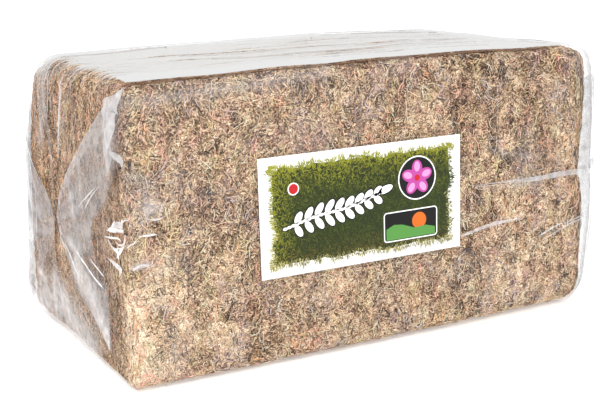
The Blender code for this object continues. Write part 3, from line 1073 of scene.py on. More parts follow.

# Streaks of an end, which fan out from a place at this y and z; their whiteness is partly a painted
# highlight of the wrinkles
STREAK_CENTRE = (0.045, 0.09)
STREAK_NARROWEST = 0.35
STREAK_OPENING = 0.20
STREAK_SIZE = (0.016, 0.10)
STREAK_SHIFT = 3.0
BROAD_STREAKS = (0.6, 1.0, 1.0)
FINE_STREAKS = (2.3, 1.0, 1.0)
FINE_STREAK_SHARE = 0.6
STREAK_CLEAR = 0.1
STREAK_HAZE = 0.30
STREAK_HIGHLIGHT_WHITENESS = 0.6
STREAK_Y = (-0.07, 0.06)
STREAK_HEIGHT = 0.0003
END_RUMPLE_HEIGHT = 0.0004
END_RUMPLE_SIZE = 0.030


def random_ripples(rng, half_across):
    """Long shallow ripples of the slack film, as strokes."""
    ripples = []
    for _ in range(RANDOM_RIPPLES):
        middle = rng.uniform(-RIPPLE_MIDDLE, RIPPLE_MIDDLE)
        reach = rng.uniform(*RIPPLE_REACH)
        level = rng.uniform(-RIPPLE_SPREAD, RIPPLE_SPREAD) * half_across / MM
        levels = level + rng.normal(0, RIPPLE_DRIFT, 3)
        path = list(zip((middle - reach, middle, middle + reach), levels))
        ripples.append((path, rng.uniform(*RIPPLE_WIDTH), rng.uniform(*RIPPLE_HEIGHT), 0.0, 0.0))
    return ripples


def face_share(component):
    """1 where the film faces along the given component of its outward direction, and 0 elsewhere."""
    return smooth_step(component * FACE_SHARPNESS - FACE_START)


def skin_relief(places, outward):
    """Height, haze and haze times whiteness of the skin's creases and ripples."""
    rng = np.random.default_rng(SEED + 50)
    from_front, from_top = places[:, [0, 2]], places[:, [0, 1]]
    front = face_share(-outward[:, 1]) * (1 - label_nearness(places))
    back, top, under = (face_share(part) for part in (outward[:, 1], outward[:, 2], -outward[:, 2]))
    from_middle = from_front - np.array((0.0, CENTRE[2]))
    relief = sum(strokes_at(*layer) for layer in (
        (from_front, FRONT_STROKES, front),
        (from_top, TOP_STROKES, top),
        (from_middle, random_ripples(rng, HALF[2]), back),
        (from_front, BACK_STROKES, back),
        (from_top, UNDERSIDE_STROKES, under),
        (from_top, random_ripples(rng, HALF[1]), top * TOP_RIPPLES),
        (from_top, random_ripples(rng, HALF[1]), under * UNDERSIDE_RIPPLES),
    ))
    past_end = HALF[0] - np.abs(places[:, 0] - CENTRE[0])
    fan = sum(share * noise_at(places / sizes, 1.0, shift) for sizes, shift, share in FAN_RIPPLES)
    relief[0] += FAN_HEIGHT * fan * top * (1 - smooth_step(past_end / FAN_REACH))
    on_end = soft_rise(np.abs(outward[:, 0]), *END_FACING)
    patches = np.clip(noise_at(places, VEIL_SIZE, shift=61.0) * VEIL_CONTRAST - VEIL_CLEAR, 0, 1)
    veil = (VEIL_LEAST + VEIL_PATCHES * patches) * (1 - VEIL_LOSS_AT_ENDS * on_end)
    relief[1] += veil
    relief[2] += veil * VEIL_WHITENESS
    return relief


def end_relief(places, outward, side):
    """Height, haze and haze times whiteness of the crumpled film of one end."""
    on_end = soft_rise(side * outward[:, 0], *END_FACING)
    y, z = places[:, 1], places[:, 2]
    centre_y, centre_z = STREAK_CENTRE
    fan = (y - centre_y) / (STREAK_NARROWEST + np.abs(z - centre_z) / STREAK_OPENING)
    level = np.full(len(y), STREAK_SHIFT * side)
    coords = np.stack([fan / STREAK_SIZE[0], z / STREAK_SIZE[1], level], axis=1)
    broad = noise_at(coords * BROAD_STREAKS, 1.0, shift=13.0)
    fine = noise_at(coords * FINE_STREAKS, 1.0, shift=29.0)
    streaks = noise_at(coords, 1.0, shift=17.0) + FINE_STREAK_SHARE * fine
    rumple = END_RUMPLE_HEIGHT * noise_at(places, END_RUMPLE_SIZE, shift=33.0)
    relief = strokes_at(places[:, [1, 2]], END_STROKES[side], on_end)
    relief[0] += on_end * (STREAK_HEIGHT * broad + rumple)
    streaked = on_end * STREAK_HAZE * np.clip(streaks - STREAK_CLEAR, 0, 1) * soft_rise(y, *STREAK_Y)
    relief[1] += streaked
    relief[2] += streaked * STREAK_HIGHLIGHT_WHITENESS
    return relief


# Slant added along the front edge of the top, by how far behind the edge, and the stretch of edge
EDGE_BEHIND = (0.009, 0.028)
EDGE_SLANT = (0.68, 0.14)
EDGE_BLEND = 0.0012
EDGE_REACH_BACK = ((-0.10, 0.20), (0.034, 0.090))
EDGE_START_X = (-0.272, 0.012)
EDGE_STOP_X = (0.215, 0.025)

# The film shines less at the upright corners and on the underside
LEVEL_SHARPNESS = 1.6
CORNER_FACING = (0.1, 0.2)
CORNER_DULLING = 0.65
UNDERSIDE_FACING = 0.4
UNDERSIDE_DULLING = 0.9
DEEPEST_DENT = 0.0003


def front_slant(points):
    """How much glossier than its slope the film is along the front edge of the top."""
    x = points[:, 0]
    behind = points[:, 1] + HALF[1]
    below = HALF[2] - points[:, 2] - behind - rim_depth(x)
    reach_back = np.interp(x, *EDGE_REACH_BACK)
    share = (1 - smooth_step((below + EDGE_BLEND) / EDGE_BLEND)) * (1 - smooth_step(behind / reach_back))
    share *= soft_rise(x, *EDGE_START_X) * (1 - soft_rise(x, *EDGE_STOP_X))
    return np.interp(behind, EDGE_BEHIND, EDGE_SLANT) * share


def skin_shine(outward):
    """How much of its gloss the film's skin keeps."""
    level = np.clip(1 - np.abs(outward[:, 2]) * LEVEL_SHARPNESS, 0, 1)
    on_corner = level * soft_rise(np.abs(outward[:, 0]), *CORNER_FACING)
    underside = smooth_step(-outward[:, 2] / UNDERSIDE_FACING)
    return (1 - UNDERSIDE_DULLING * underside) * (1 - CORNER_DULLING * on_corner)


def add_film_skin(material):
    """The film's skin: one closed bag around the block."""
    points, faces = box_grid(film_lines())
    places, outward = block_surface(points)
    relief = skin_relief(places, outward)
    for side in (-1, 1):
        relief += end_relief(places, outward, side)
    height = np.maximum(relief[0], -DEEPEST_DENT) + FILM_OFFSET + film_stand_off(places, outward)
    lying = places + outward * height[:, None]
    lying[:, 2] = np.maximum(lying[:, 2], 0.0)
    values = film_values(relief[1], relief[2], skin_shine(outward), front_slant(points))
    return make_piece("film_skin", lying, faces, material, "film", **values)


# Flaps of the ends, in mm: edges as the foot's z and points (y, z), and the y past which film is clear
FLAPS = {
    "film_left_front_flap": {
        "side": -1, "foot_side": -1, "lift": 0.0012, "haze": 0.36, "whiteness": 0.12, "soft_foot": 0.02,
        "clear_z": (0, 20, 60, 86, 92, 106, 110, 120, 131, 143, 155, 167, 180, 192, 215, 300),
        "clear_y": (112, 113, 120, 120, 115, 108, 96, 84, 80, 82, 92, 113, 136, 144, 153, 157),
        "upper": (281, ((-143, 268), (-120, 257), (-83, 237), (-41, 208), (-19, 192), (6, 172),
                        (22, 152), (29, 134))),
        "lower": (12, ((-120, 22), (-98, 34), (-79, 45), (-47, 62), (-25, 73), (-2, 87), (16, 103),
                       (27, 120))),
    },
    "film_left_back_flap": {
        "side": -1, "foot_side": 1, "lift": 0.0006, "haze": 0.40, "whiteness": 0.22, "soft_foot": 0.45,
        "clear_z": (0, 300), "clear_y": (160, 160),
        "upper": (236, ((146, 214), (124, 194), (102, 177), (83, 164), (64, 153), (52, 142), (46, 128))),
        "lower": (50, ((146, 52), (130, 54), (108, 58), (82, 64), (62, 76), (51, 96), (46, 114))),
    },
    "film_right_front_flap": {
        "side": 1, "foot_side": -1, "lift": 0.0014, "haze": 0.36, "whiteness": 0.20, "soft_foot": 0.02,
        "clear_z": (0, 100, 200, 300), "clear_y": (120, 134, 140, 150),
        "upper": (262, ((-120, 248), (-75, 222), (-30, 196), (0, 162), (22, 124))),
        "lower": (10, ((-110, 30), (-60, 62), (-20, 88), (4, 104), (18, 114))),
    },
    "film_right_back_flap": {
        "side": 1, "foot_side": 1, "lift": 0.0018, "haze": 0.38, "whiteness": 0.22, "soft_foot": 0.10,
        "clear_z": (0, 100, 200, 300), "clear_y": (130, 140, 136, 154),
        "upper": (250, ((130, 222), (108, 200), (86, 178), (62, 150), (44, 122))),
        "lower": (12, ((130, 34), (104, 60), (80, 84), (60, 102), (46, 112))),
    },
}

# Where a flap leaves the long face, its layers' gap, and how low its foot lies on the skin
FLAP_WRAP = 0.016
FLAP_CELLS = (84, 50)
FLAP_CLEAR_EDGE = 0.010
FLAP_TURN = (0.06, 0.08)
FLAP_GAP = 0.0003
FLAP_FOOT_HEIGHT = 0.15
FLAP_SHINE = 0.8
FLAP_LEAST_HAZE = 0.03
# A flap's pleats, across and inwards, and what they and its rims add to its height, haze and whiteness; the
# added whiteness is partly a painted highlight on the pleats' ridges and the rims
PLEATS = (9.0, 2.2)
FINE_PLEATS = (2.7, 1.6, 1.0)
FINE_PLEAT_SHARE = 0.5
PLEAT_SHIFT = 1e4
FLAP_RIM = 0.02
FLAP_BASE_HEIGHT = 0.0006
PLEAT_HEIGHT, RIM_HEIGHT = 0.0004, 0.0006
PLEAT_HAZE, RIM_HAZE = 0.14, 0.10
PLEAT_HIGHLIGHT_WHITENESS, RIM_HIGHLIGHT_WHITENESS = 0.30, 0.3


def smooth_path(points, shares):
    """Points at the given shares of a path, on a soft curve through its points."""
    points = np.asarray(points, dtype=float)
    knots = np.concatenate([[0.0], np.cumsum(np.linalg.norm(np.diff(points, axis=0), axis=1))])
    knots /= knots[-1]
    slopes = np.gradient(points, knots, axis=0)
    index = np.clip(np.searchsorted(knots, shares, side="right") - 1, 0, len(knots) - 2)
    span = knots[index + 1] - knots[index]
    t = ((shares - knots[index]) / span)[:, None]
    span = span[:, None]
    start, stop = points[index], points[index + 1]
    value = (2 * t**3 - 3 * t**2 + 1) * start + (3 * t**2 - 2 * t**3) * stop
    return value + (t**3 - 2 * t**2 + t) * span * slopes[index] + (t**3 - t**2) * span * slopes[index + 1]


def flap_edge(flap, key):
    """One edge of a flap, from round the corner on the long face to the apex."""
    foot_z, inner = flap[key]
    foot = (flap["foot_side"] * HALF[1], foot_z * MM)
    start = (foot[0] + flap["foot_side"] * FLAP_WRAP, foot[1])
    return [start, foot, *(np.array(inner) * MM)]


def flap_pleats(flap, inward, upward):
    """Uneven pleats of a flap, about -1 to 1."""
    level = np.full(len(inward), flap["lift"] * PLEAT_SHIFT)
    coords = np.stack([upward * PLEATS[0], inward * PLEATS[1], level], axis=1)
    fine = noise_at(coords * FINE_PLEATS, 1.0, shift=9.0)
    return noise_at(coords, 1.0, shift=2.0) + FINE_PLEAT_SHARE * fine


def add_flap(name, material):
    """One folded flap: a crumpled sheet over the skin, from the corner to its apex."""
    flap = FLAPS[name]
    rows, columns = (cells + 1 for cells in FLAP_CELLS)
    grid = np.meshgrid(np.linspace(0, 1, rows), np.linspace(0, 1, columns), indexing="ij")
    inward, upward = (shares.ravel() for shares in grid)
    low, high = (smooth_path(flap_edge(flap, key), inward) for key in ("lower", "upper"))
    spots = low + (high - low) * upward[:, None]
    points = on_box(0, flap["side"], spots[:, 0], spots[:, 1] - CENTRE[2])
    places, outward = block_surface(points)
    wrap = soft_rise(inward, *FLAP_TURN)
    rim = np.exp(-np.minimum(upward, 1 - upward) / FLAP_RIM)
    pleats = flap_pleats(flap, inward, upward)
    relief = strokes_at(places[:, [1, 2]], FLAP_STROKES[name], wrap)
    height = flap["lift"] + wrap * (PLEAT_HEIGHT * pleats + RIM_HEIGHT * rim + FLAP_BASE_HEIGHT) + relief[0]
    haze = flap["haze"] + PLEAT_HAZE * pleats + RIM_HAZE * rim
    milk = haze * (flap["whiteness"] + PLEAT_HIGHLIGHT_WHITENESS * pleats + RIM_HIGHLIGHT_WHITENESS * rim) + relief[2]
    clear_y = np.interp(places[:, 2], np.array(flap["clear_z"]) * MM, np.array(flap["clear_y"]) * MM)
    seen = smooth_step((clear_y - flap["foot_side"] * places[:, 1]) / FLAP_CLEAR_EDGE)
    seen *= smooth_step(upward / flap["soft_foot"])
    base = FILM_OFFSET + film_stand_off(places, outward) + FLAP_GAP
    height *= FLAP_FOOT_HEIGHT + (1 - FLAP_FOOT_HEIGHT) * wrap
    faces = grid_quads(rows, columns)
    if flap["side"] * flap["foot_side"] > 0:
        faces = faces[:, ::-1]
    values = film_values(np.maximum(haze + relief[1], FLAP_LEAST_HAZE) * seen, milk * seen, FLAP_SHINE)
    return make_piece(name, places + outward * (base + height)[:, None], faces, material, "film", **values)


# Directions in which sharp folds are laid on the film: across, up, and inwards
SLANT = math.sqrt(0.5)
FOLD_VIEWS = {
    "front": ((1, 0, 0), (0, 0, 1), (0, 1, 0)),
    "back": ((-1, 0, 0), (0, 0, 1), (0, -1, 0)),
    "left": ((0, 1, 0), (0, 0, 1), (1, 0, 0)),
    "right": ((0, 1, 0), (0, 0, 1), (-1, 0, 0)),
    "corner": ((SLANT, -SLANT, 0), (0, 0, 1), (SLANT, SLANT, 0)),
    "left_edge": ((0, 1, 0), (SLANT, 0, SLANT), (SLANT, 0, -SLANT)),
    "right_corner": ((SLANT, SLANT, 0), (0, 0, 1), (-SLANT, SLANT, 0)),
    "top": ((1, 0, 0), (0, 1, 0), (0, 0, -1)),
}

# Sharp folds by view, in mm: haze, whiteness, height, and points as (across, up, width); their white milk
# is partly a painted highlight of the crinkles
FOLDS = {
    "corner": (
        (0.50, 0.66, 0.5, ((-77, 283, 0.5), (-82, 276, 7), (-89, 269, 17), (-92, 265, 21),
                           (-92, 260, 15), (-93, 250, 13), (-95, 240, 10), (-97, 230, 5))),
        (0.44, 0.58, 0.5, ((-95, 242, 6), (-98, 230, 12), (-98, 220, 13), (-99, 212, 8), (-100, 203, 3))),
        (0.50, 0.74, 0.4, ((-93, 226, 3), (-88, 224, 7), (-83, 221, 6), (-80, 214, 1))),
        (0.76, 0.93, 0.9, ((-106, 152, 1), (-98, 155, 3.5), (-91, 156, 4), (-82, 156, 2.5))),
        (0.67, 0.93, 0.6, ((-97, 156, 3), (-94, 160, 2.5), (-91, 165, 0.8))),
        (0.71, 0.93, 0.6, ((-85, 157, 4), (-84, 161, 3), (-83, 167, 1))),
        (0.67, 0.93, 0.5, ((-83, 164, 1.5), (-80, 166, 1.2), (-77, 166, 0.6))),
        (0.46, 0.93, 0.4, ((-96, 157, 4), (-90, 161, 6), (-84, 162, 4))),
        (0.76, 0.93, 0.8, ((-112, 144, 0.8), (-104, 146, 1.6), (-95, 148, 1.8), (-87, 148, 1.2),
                           (-86, 146, 0.6))),
        (0.67, 0.93, 0.6, ((-81, 153, 0.6), (-82, 146, 1.4), (-84, 143, 1.8), (-89, 143, 1.5),
                           (-92, 145, 0.7))),
        (0.76, 0.93, 0.9, ((-106, 143, 1), (-98, 138, 2.6), (-91, 136, 3.2), (-90, 129, 1))),
        (0.76, 0.93, 0.8, ((-82, 143, 0.8), (-87, 137, 3), (-92, 130, 1))),
        (0.67, 0.93, 0.5, ((-95, 138, 1), (-89, 139, 1.6), (-83, 141, 0.8))),
        (0.59, 0.93, 0.7, ((-109, 124, 1), (-98, 123, 4), (-89, 120, 4.5), (-90, 113, 1))),
        (0.50, 0.84, 0.5, ((-81, 140, 0.6), (-77, 143, 1.4), (-71, 146, 0.8))),
    ),
    "front": (
        (0.85, 1.0, 0.7, ((-259, 150, 0.7), (-250, 149.5, 1.9), (-241, 149.5, 0.7))),
        (0.50, 0.9, 0.5, ((-251, 165, 0.6), (-240, 163, 1.8), (-232, 165, 0.6))),
        (0.50, 0.9, 0.5, ((-266, 119, 1), (-260, 122, 3), (-250, 122, 1.6))),
        (0.48, 0.45, 0.5, ((104, 153.8, 0.5), (130, 153, 0.9), (150, 152.6, 2.4), (169, 152.3, 4.4),
                           (190, 151.6, 4.6), (211, 152.6, 5.2), (240, 153.2, 5.6), (260, 152, 4.2))),
        (0.45, 0.8, 0.3, ((108, 151.6, 0.5), (134, 150.6, 0.8), (154, 150.2, 0.5))),
        (0.44, 0.80, 0.6, ((92, 101.6, 1.6), (104, 103.6, 3), (119, 107, 3.4), (134, 109.4, 3.4),
                           (152, 110.6, 2.8), (168, 111, 0.8))),
        (0.60, 0.95, 0.6, ((194, 87.6, 0.6), (203, 90.4, 1.7), (214, 94.6, 1.6), (226, 98, 0.6))),
        (0.50, 0.9, 0.5, ((200, 82.6, 0.5), (212, 87, 1.3), (224, 91, 1.3), (236, 95.6, 1.5),
                          (252, 100, 0.6))),
        (0.45, 0.8, 0.4, ((228, 96.6, 0.5), (240, 99.6, 1), (256, 104.6, 0.6))),
    ),
    "back": (
        (0.46, 0.5, 0.5, ((-262, 141, 1.0), (-235, 139.6, 4.4), (-190, 136, 4.8), (-150, 138.6, 3),
                          (-96, 137, 0.5))),
        (0.45, 0.8, 0.3, ((-250, 133, 0.5), (-215, 132, 1.2), (-170, 133, 0.5))),
        (0.55, 0.9, 0.5, ((266, 118, 0.8), (250, 122, 2.6), (238, 120, 0.6))),
        (0.60, 0.9, 0.5, ((266, 143, 1.0), (252, 147, 3.0), (236, 145, 0.6))),
        (0.50, 0.9, 0.5, ((266, 168, 1.0), (246, 160, 2.6), (230, 164, 0.6))),
        (0.45, 0.8, 0.5, ((250, 92, 0.6), (222, 96, 2.0), (190, 93, 0.6))),
        (0.40, 0.7, 0.4, ((60, 204, 0.5), (-10, 211, 1.4), (-90, 207, 0.5))),
        (0.40, 0.7, 0.4, ((150, 68, 0.5), (60, 63, 1.4), (-20, 69, 0.5))),
    ),
    "left": (
        (0.55, 0.85, 0.6, ((-42, 158, 0.6), (-62, 168, 1.8), (-84, 179, 1.8), (-105, 189, 0.6))),
        (0.60, 0.9, 0.6, ((-62, 159, 0.6), (-80, 172, 2), (-98, 183, 1.6), (-112, 190, 0.6))),
        (0.45, 0.9, 0.5, ((26, 156, 0.8), (29, 130, 3), (31, 109, 3), (34, 84, 0.8))),
        (0.45, 0.9, 0.5, ((32, 122, 0.6), (20, 110, 2.4), (5, 96, 0.8))),
        (0.65, 1.0, 0.6, ((12, 109, 0.6), (-8, 97, 3), (-30, 88, 2.4), (-48, 82, 0.8))),
        (0.65, 1.0, 0.6, ((-24, 112, 0.6), (-36, 107, 2.4), (-48, 103, 0.8))),
        (0.85, 1.0, 0.7, ((-30, 109, 0.6), (-54, 102, 2.4), (-74, 95.5, 2.2), (-99, 91, 0.6))),
        (0.75, 1.0, 0.6, ((-68, 111, 0.5), (-87, 106, 1.7), (-105, 102.5, 0.6))),
        (0.65, 1.0, 0.5, ((-76, 94, 0.5), (-88, 91.5, 1.6), (-103, 90, 0.6))),
        (0.50, 0.1, 0.5, ((14, 79, 0.6), (-10, 71, 2), (-36, 61, 2.2), (-66, 42, 2.2), (-90, 25, 0.6))),
        (0.45, 0.3, 0.5, ((-22, 53, 0.6), (-40, 45, 2.4), (-60, 35, 2.4), (-86, 18, 0.6))),
        (0.50, 0.75, 0.4, ((50, 279, 0.6), (43, 263, 1.7), (48, 250, 1.6), (54, 232, 0.5))),
        (0.45, 0.7, 0.4, ((42, 276, 0.6), (37, 258, 1.6), (40, 240, 0.6))),
        (0.50, 0.85, 0.5, ((2, 276, 0.6), (2, 265, 2), (9, 251, 2.6), (15, 235, 2.4), (21, 216, 1.4),
                           (25, 200, 0.5))),
        (0.45, 0.9, 0.5, ((112, 172, 0.6), (116, 130, 3), (117, 84, 0.8))),
        (0.40, 0.9, 0.5, ((100, 158, 0.6), (102, 120, 2.4), (104, 92, 0.6))),
    ),
    "left_edge": (
        (0.50, 0.75, 0.4, ((54, -6, 0.6), (55, 4, 1.8), (60, 12, 2), (65, 20, 2), (65, 29, 2),
                           (72, 42, 0.6))),
        (0.50, 0.75, 0.4, ((38, -4, 0.6), (38, 5, 1.8), (45, 14, 1.8), (42, 22, 1.8), (30, 32, 0.6))),
        (0.45, 0.75, 0.4, ((15, 2, 0.6), (18, 10, 1.6), (16, 18, 1.6), (8, 25, 1.6), (-8, 32, 0.6))),
        (0.45, 0.75, 0.4, ((-19, 2, 0.6), (-24, 12, 1.6), (-34, 20, 1.8), (-50, 31, 0.6))),
        (0.40, 0.75, 0.4, ((-64, 4, 0.6), (-68, 14, 1.6), (-72, 23, 1.6), (-81, 31, 0.6))),
        (0.40, 0.75, 0.4, ((-108, 4, 0.6), (-114, 13, 1.6), (-124, 20, 1.6), (-136, 27, 0.6))),
    ),
    "right_corner": (
        (0.95, 0.0, 0.2, ((84, 268, 0.4), (89, 240, 1.2), (92, 200, 1.4), (92, 165, 1.2),
                          (90, 120, 1.2), (87, 70, 0.4))),
        (0.90, 0.05, 0.2, ((75, 262, 0.4), (79, 225, 1.2), (79, 195, 1.4), (77, 168, 0.8))),
        (0.90, 0.05, 0.2, ((75, 148, 0.6), (80, 132, 1.2), (81, 100, 1.2), (79, 50, 0.5))),
        (0.85, 0.05, 0.2, ((83, 255, 0.4), (85, 215, 1.2), (85, 172, 0.6))),
        (0.85, 0.05, 0.2, ((85, 142, 0.4), (86, 112, 1.1), (83, 60, 0.5))),
        (0.70, 0.45, 1.6, ((76, 157, 6), (84, 159, 10), (90, 162, 10), (96, 164, 9))),
        (0.55, 0.9, 0.5, ((72, 152, 4), (80, 151, 5), (88, 150, 3), (95, 149, 1))),
    ),
    "top": (
        (0.40, 0.25, 0.25, ((-22, -27, 0.8), (49, -29, 2.8), (121, -40, 3.0), (180, -43, 0.8))),
        (0.38, 0.35, 0.25, ((-60, -72, 0.8), (-4, -77, 2.6), (55, -70, 3.2), (110, -73, 2.4),
                            (161, -88, 0.8))),
        (0.34, 0.35, 0.25, ((-78, -131, 0.8), (-40, -134, 2.4), (11, -131, 2.6), (84, -126, 2.4),
                            (148, -128, 0.8))),
        (0.30, 0.40, 0.25, ((-156, -17, 0.8), (-125, -26, 2.6), (-84, -32, 2.6), (3, -25, 0.8))),
        (0.30, 0.40, 0.25, ((-140, -62, 0.8), (-106, -74, 2.4), (-29, -80, 0.8))),
        (0.60, 0.15, 0.4, ((110, 96, 0.6), (150, 88, 4), (180, 72, 3), (204, 52, 0.6))),
        (0.65, 0.05, 0.4, ((216, -92, 1), (232, -92, 8), (240, -98, 12), (243, -112, 6))),
        (0.45, 0.25, 0.4, ((-250, 76, 0.6), (-210, 80, 2), (-166, 84, 2), (-128, 89, 0.8))),
    ),
    "right": (
        (0.60, 0.9, 0.6, ((-66, 262, 0.6), (-52, 240, 2.4), (-36, 214, 2), (-24, 190, 0.6))),
        (0.60, 0.9, 0.6, ((30, 270, 0.6), (28, 240, 2), (32, 210, 2.4), (30, 176, 0.6))),
        (0.70, 1.0, 0.6, ((86, 168, 0.6), (104, 184, 2), (126, 200, 2), (144, 208, 0.6))),
        (0.70, 1.0, 0.6, ((-44, 146, 0.6), (-72, 164, 2), (-100, 186, 2.4), (-132, 200, 0.6))),
        (0.70, 1.0, 0.6, ((-50, 88, 0.6), (-76, 74, 2.4), (-104, 66, 2), (-130, 50, 0.6))),
        (0.55, 0.9, 0.5, ((60, 60, 0.6), (40, 40, 2.4), (10, 24, 2), (-10, 10, 0.6))),
    ),
}

FOLD_STEP = 0.0022
FOLD_LEAST_CELLS = 6
FOLD_RAGGED_SIZE = 0.011
FOLD_RAGGED_SHIFT = 3.1
FOLD_RAGGED_WIDTH = 0.3
FOLD_RAGGED_HAZE = 0.25
FOLD_FOOT = 0.00015
FOLD_SHINE = 0.5
TOP_FOLD_SHINE = 0.92


def on_film(tree, spots, view):
    """Where flat points of a view meet the outermost film, and the view's direction inwards."""
    across, up, inwards = (np.array(axis, dtype=float) for axis in FOLD_VIEWS[view])
    starts = spots[:, :1] * across + spots[:, 1:] * up - inwards
    return np.array([tree.ray_cast(Vector(start), Vector(inwards))[0] for start in starts]), inwards


def film_tree(films):
    """The film's pieces, ready for finding where lines meet them."""
    points, polygons = [], []
    for piece in films:
        polygons += [[len(points) + v for v in polygon.vertices] for polygon in piece.data.polygons]
        points += [vertex.co.copy() for vertex in piece.data.vertices]
    return BVHTree.FromPolygons(points, polygons)


def add_folds(material, tree):
    """Sharp little folds of the film, each a low ridge that follows its outermost layer, its white milk
    partly a painted highlight.
    """
    ridges = Gathering()
    folds = [(view, *fold) for view, rows in FOLDS.items() for fold in rows]
    for number, (view, haze, white, rise, path) in enumerate(folds):
        path = np.array(path) * MM
        length = np.linalg.norm(np.diff(path[:, :2], axis=0), axis=1).sum()
        stations = max(FOLD_LEAST_CELLS, int(length / FOLD_STEP)) + 1
        line = smooth_path(path, np.linspace(0, 1, stations))
        ragged = flat_noise(line[:, :2], FOLD_RAGGED_SIZE, number * FOLD_RAGGED_SHIFT)
        line[:, 2] *= 1 + FOLD_RAGGED_WIDTH * ragged
        along = unit(np.gradient(line[:, :2], axis=0))
        aside = np.stack([-along[:, 1], along[:, 0]], axis=1) * line[:, 2:] / 2
        rows = []
        for share, lift in ((-1, 0.0), (0, rise * MM), (1, 0.0)):
            found, inwards = on_film(tree, line[:, :2] + share * aside, view)
            rows.append(found - inwards * (FOLD_FOOT + lift))
        haze = np.repeat(haze * (1 + FOLD_RAGGED_HAZE * ragged), 3)
        values = film_values(haze, haze * white, TOP_FOLD_SHINE if view == "top" else FOLD_SHINE)
        faces = grid_quads(stations, 3)[:, [0, 3, 2, 1]]
        ridges.add(np.stack(rows, axis=1).reshape(-1, 3), faces, **values)
    ridges.piece("film_folds", material, "film")


# Crumbs of moss that lie on the film: the view, the place across and up in mm, and the size in mm
CRUMBS = (
    ("top", 220, -84, 2.0),
    ("top", 202, 54, 1.6),
    ("top", -129, 86, 2.4),
    ("top", 31, 48, 2.4),
    ("top", -20, 120, 1.6),
    ("right_corner", 84, 34, 1.9),
    ("right_corner", 86, 58, 1.2),
)
CRUMB_CORNERS = np.array(((1, 0, 0), (-1, 0, 0), (0, 1, 0), (0, -1, 0), (0, 0, 1), (0, 0, -1)))
CRUMB_FACES = ((0, 2, 4), (2, 1, 4), (1, 3, 4), (3, 0, 4), (2, 0, 5), (1, 2, 5), (3, 1, 5), (0, 3, 5))
CRUMB_FLATNESS = 0.8
CRUMB_SINK = 0.3
CRUMB_ROUGHNESS = 0.0001
CRUMB_SWELL = (0.6, 1.5)
CRUMB_SHADES = (0.5, 1.3)


def add_crumbs(material, tree):
    """Loose crumbs of moss on the film, each an uneven lump."""
    rng = np.random.default_rng(SEED + 70)
    crumbs = Gathering()
    count = len(CRUMB_CORNERS)
    for view, across, up, size in CRUMBS:
        place, inwards = on_film(tree, np.array(((across, up),)) * MM, view)
        lump = CRUMB_CORNERS * (1 - CRUMB_FLATNESS * np.abs(inwards)) * size * MM / 2
        lump = lump * rng.uniform(*CRUMB_SWELL, (count, 1)) + rng.normal(0, CRUMB_ROUGHNESS, (count, 3))
        shade = rng.uniform(*CRUMB_SHADES)
        crumbs.add(place - inwards * size * MM * CRUMB_SINK + lump, CRUMB_FACES,
                   tint=np.tile(RIM_TINTS[0] * shade, (count, 1)), along=np.zeros(count))
    crumbs.piece("moss_crumbs", material, "moss")


def add_film(strands):
    material = film_material()
    films = [add_film_skin(material)]
    for name in FLAPS:
        films.append(add_flap(name, material))
    tree = film_tree(films)
    add_folds(material, tree)
    add_crumbs(strands, tree)


# Label

LABEL_FRONT = LABEL_BOX[0][1]
LABEL_CELLS = (46, 24)
PAPER_THICKNESS = 0.00025
DEEP_GREEN = srgb(42, 52, 14)
MID_GREEN = srgb(76, 88, 26)
LIME = srgb(150, 150, 42)
OLIVE_BROWN = srgb(112, 90, 42)
PALE_TIP = srgb(208, 200, 140)
PRINT_DARK = srgb(10, 10, 9)
PRINT_WHITE = srgb(250, 250, 248)
PRINT_RED = srgb(186, 30, 36)
PRINT_PINK = srgb(182, 70, 152)
PRINT_ROSE = srgb(216, 150, 198)
PRINT_ORANGE = srgb(206, 104, 30)
PRINT_LEAF = srgb(84, 142, 66)
# Grain of the paper: the levels it is read between and the light they give
PAPER_GRAIN_SCALE = 1400.0
PAPER_GRAIN_LEVELS = (0.3, 0.7)
PAPER_GRAIN_LIGHT = (0.96, 1.02)
# Heights of the print's layers over the paper
PRINT_STEP = 0.00002
PETAL_STEP = 0.000002
FIELD_LIFT = 0.00004
PICTURE_LIFT = 0.00028
SPRIG_LIFT = 0.00038


def label_material():
    """Printed paper: the ink's colours with a slight grain and a satin finish."""
    material, tree = new_material("printed_label")
    grain = add_node(tree, "TexNoise", Vector=own_place(tree), Scale=PAPER_GRAIN_SCALE, Detail=2.0)
    light = add_node(tree, "MapRange", grain, *PAPER_GRAIN_LEVELS, *PAPER_GRAIN_LIGHT)
    ink = point_value(tree, "ink", "Color")
    colour = add_node(tree, "VectorMath", ink, operation="SCALE", Scale=light)
    bump = add_node(tree, "Bump", Strength=0.15, Distance=0.0001, Height=grain)
    shader = add_node(tree, "BsdfPrincipled", colour, Roughness=0.5, Specular_IOR_Level=0.25, Normal=bump)
    add_node(tree, "OutputMaterial", shader)
    return material


def on_label(spots, lift):
    """Places for flat points of the label, given from its centre, at a height over the paper."""
    spots = np.asarray(spots, dtype=float)
    cos, sin = math.cos(LABEL_TURN), math.sin(LABEL_TURN)
    x = LABEL_CENTRE[0] + spots[:, 0] * cos - spots[:, 1] * sin
    z = LABEL_CENTRE[1] + spots[:, 0] * sin + spots[:, 1] * cos
    y = LABEL_FRONT - lift
    return np.stack([x, np.broadcast_to(y, x.shape), z], axis=1)


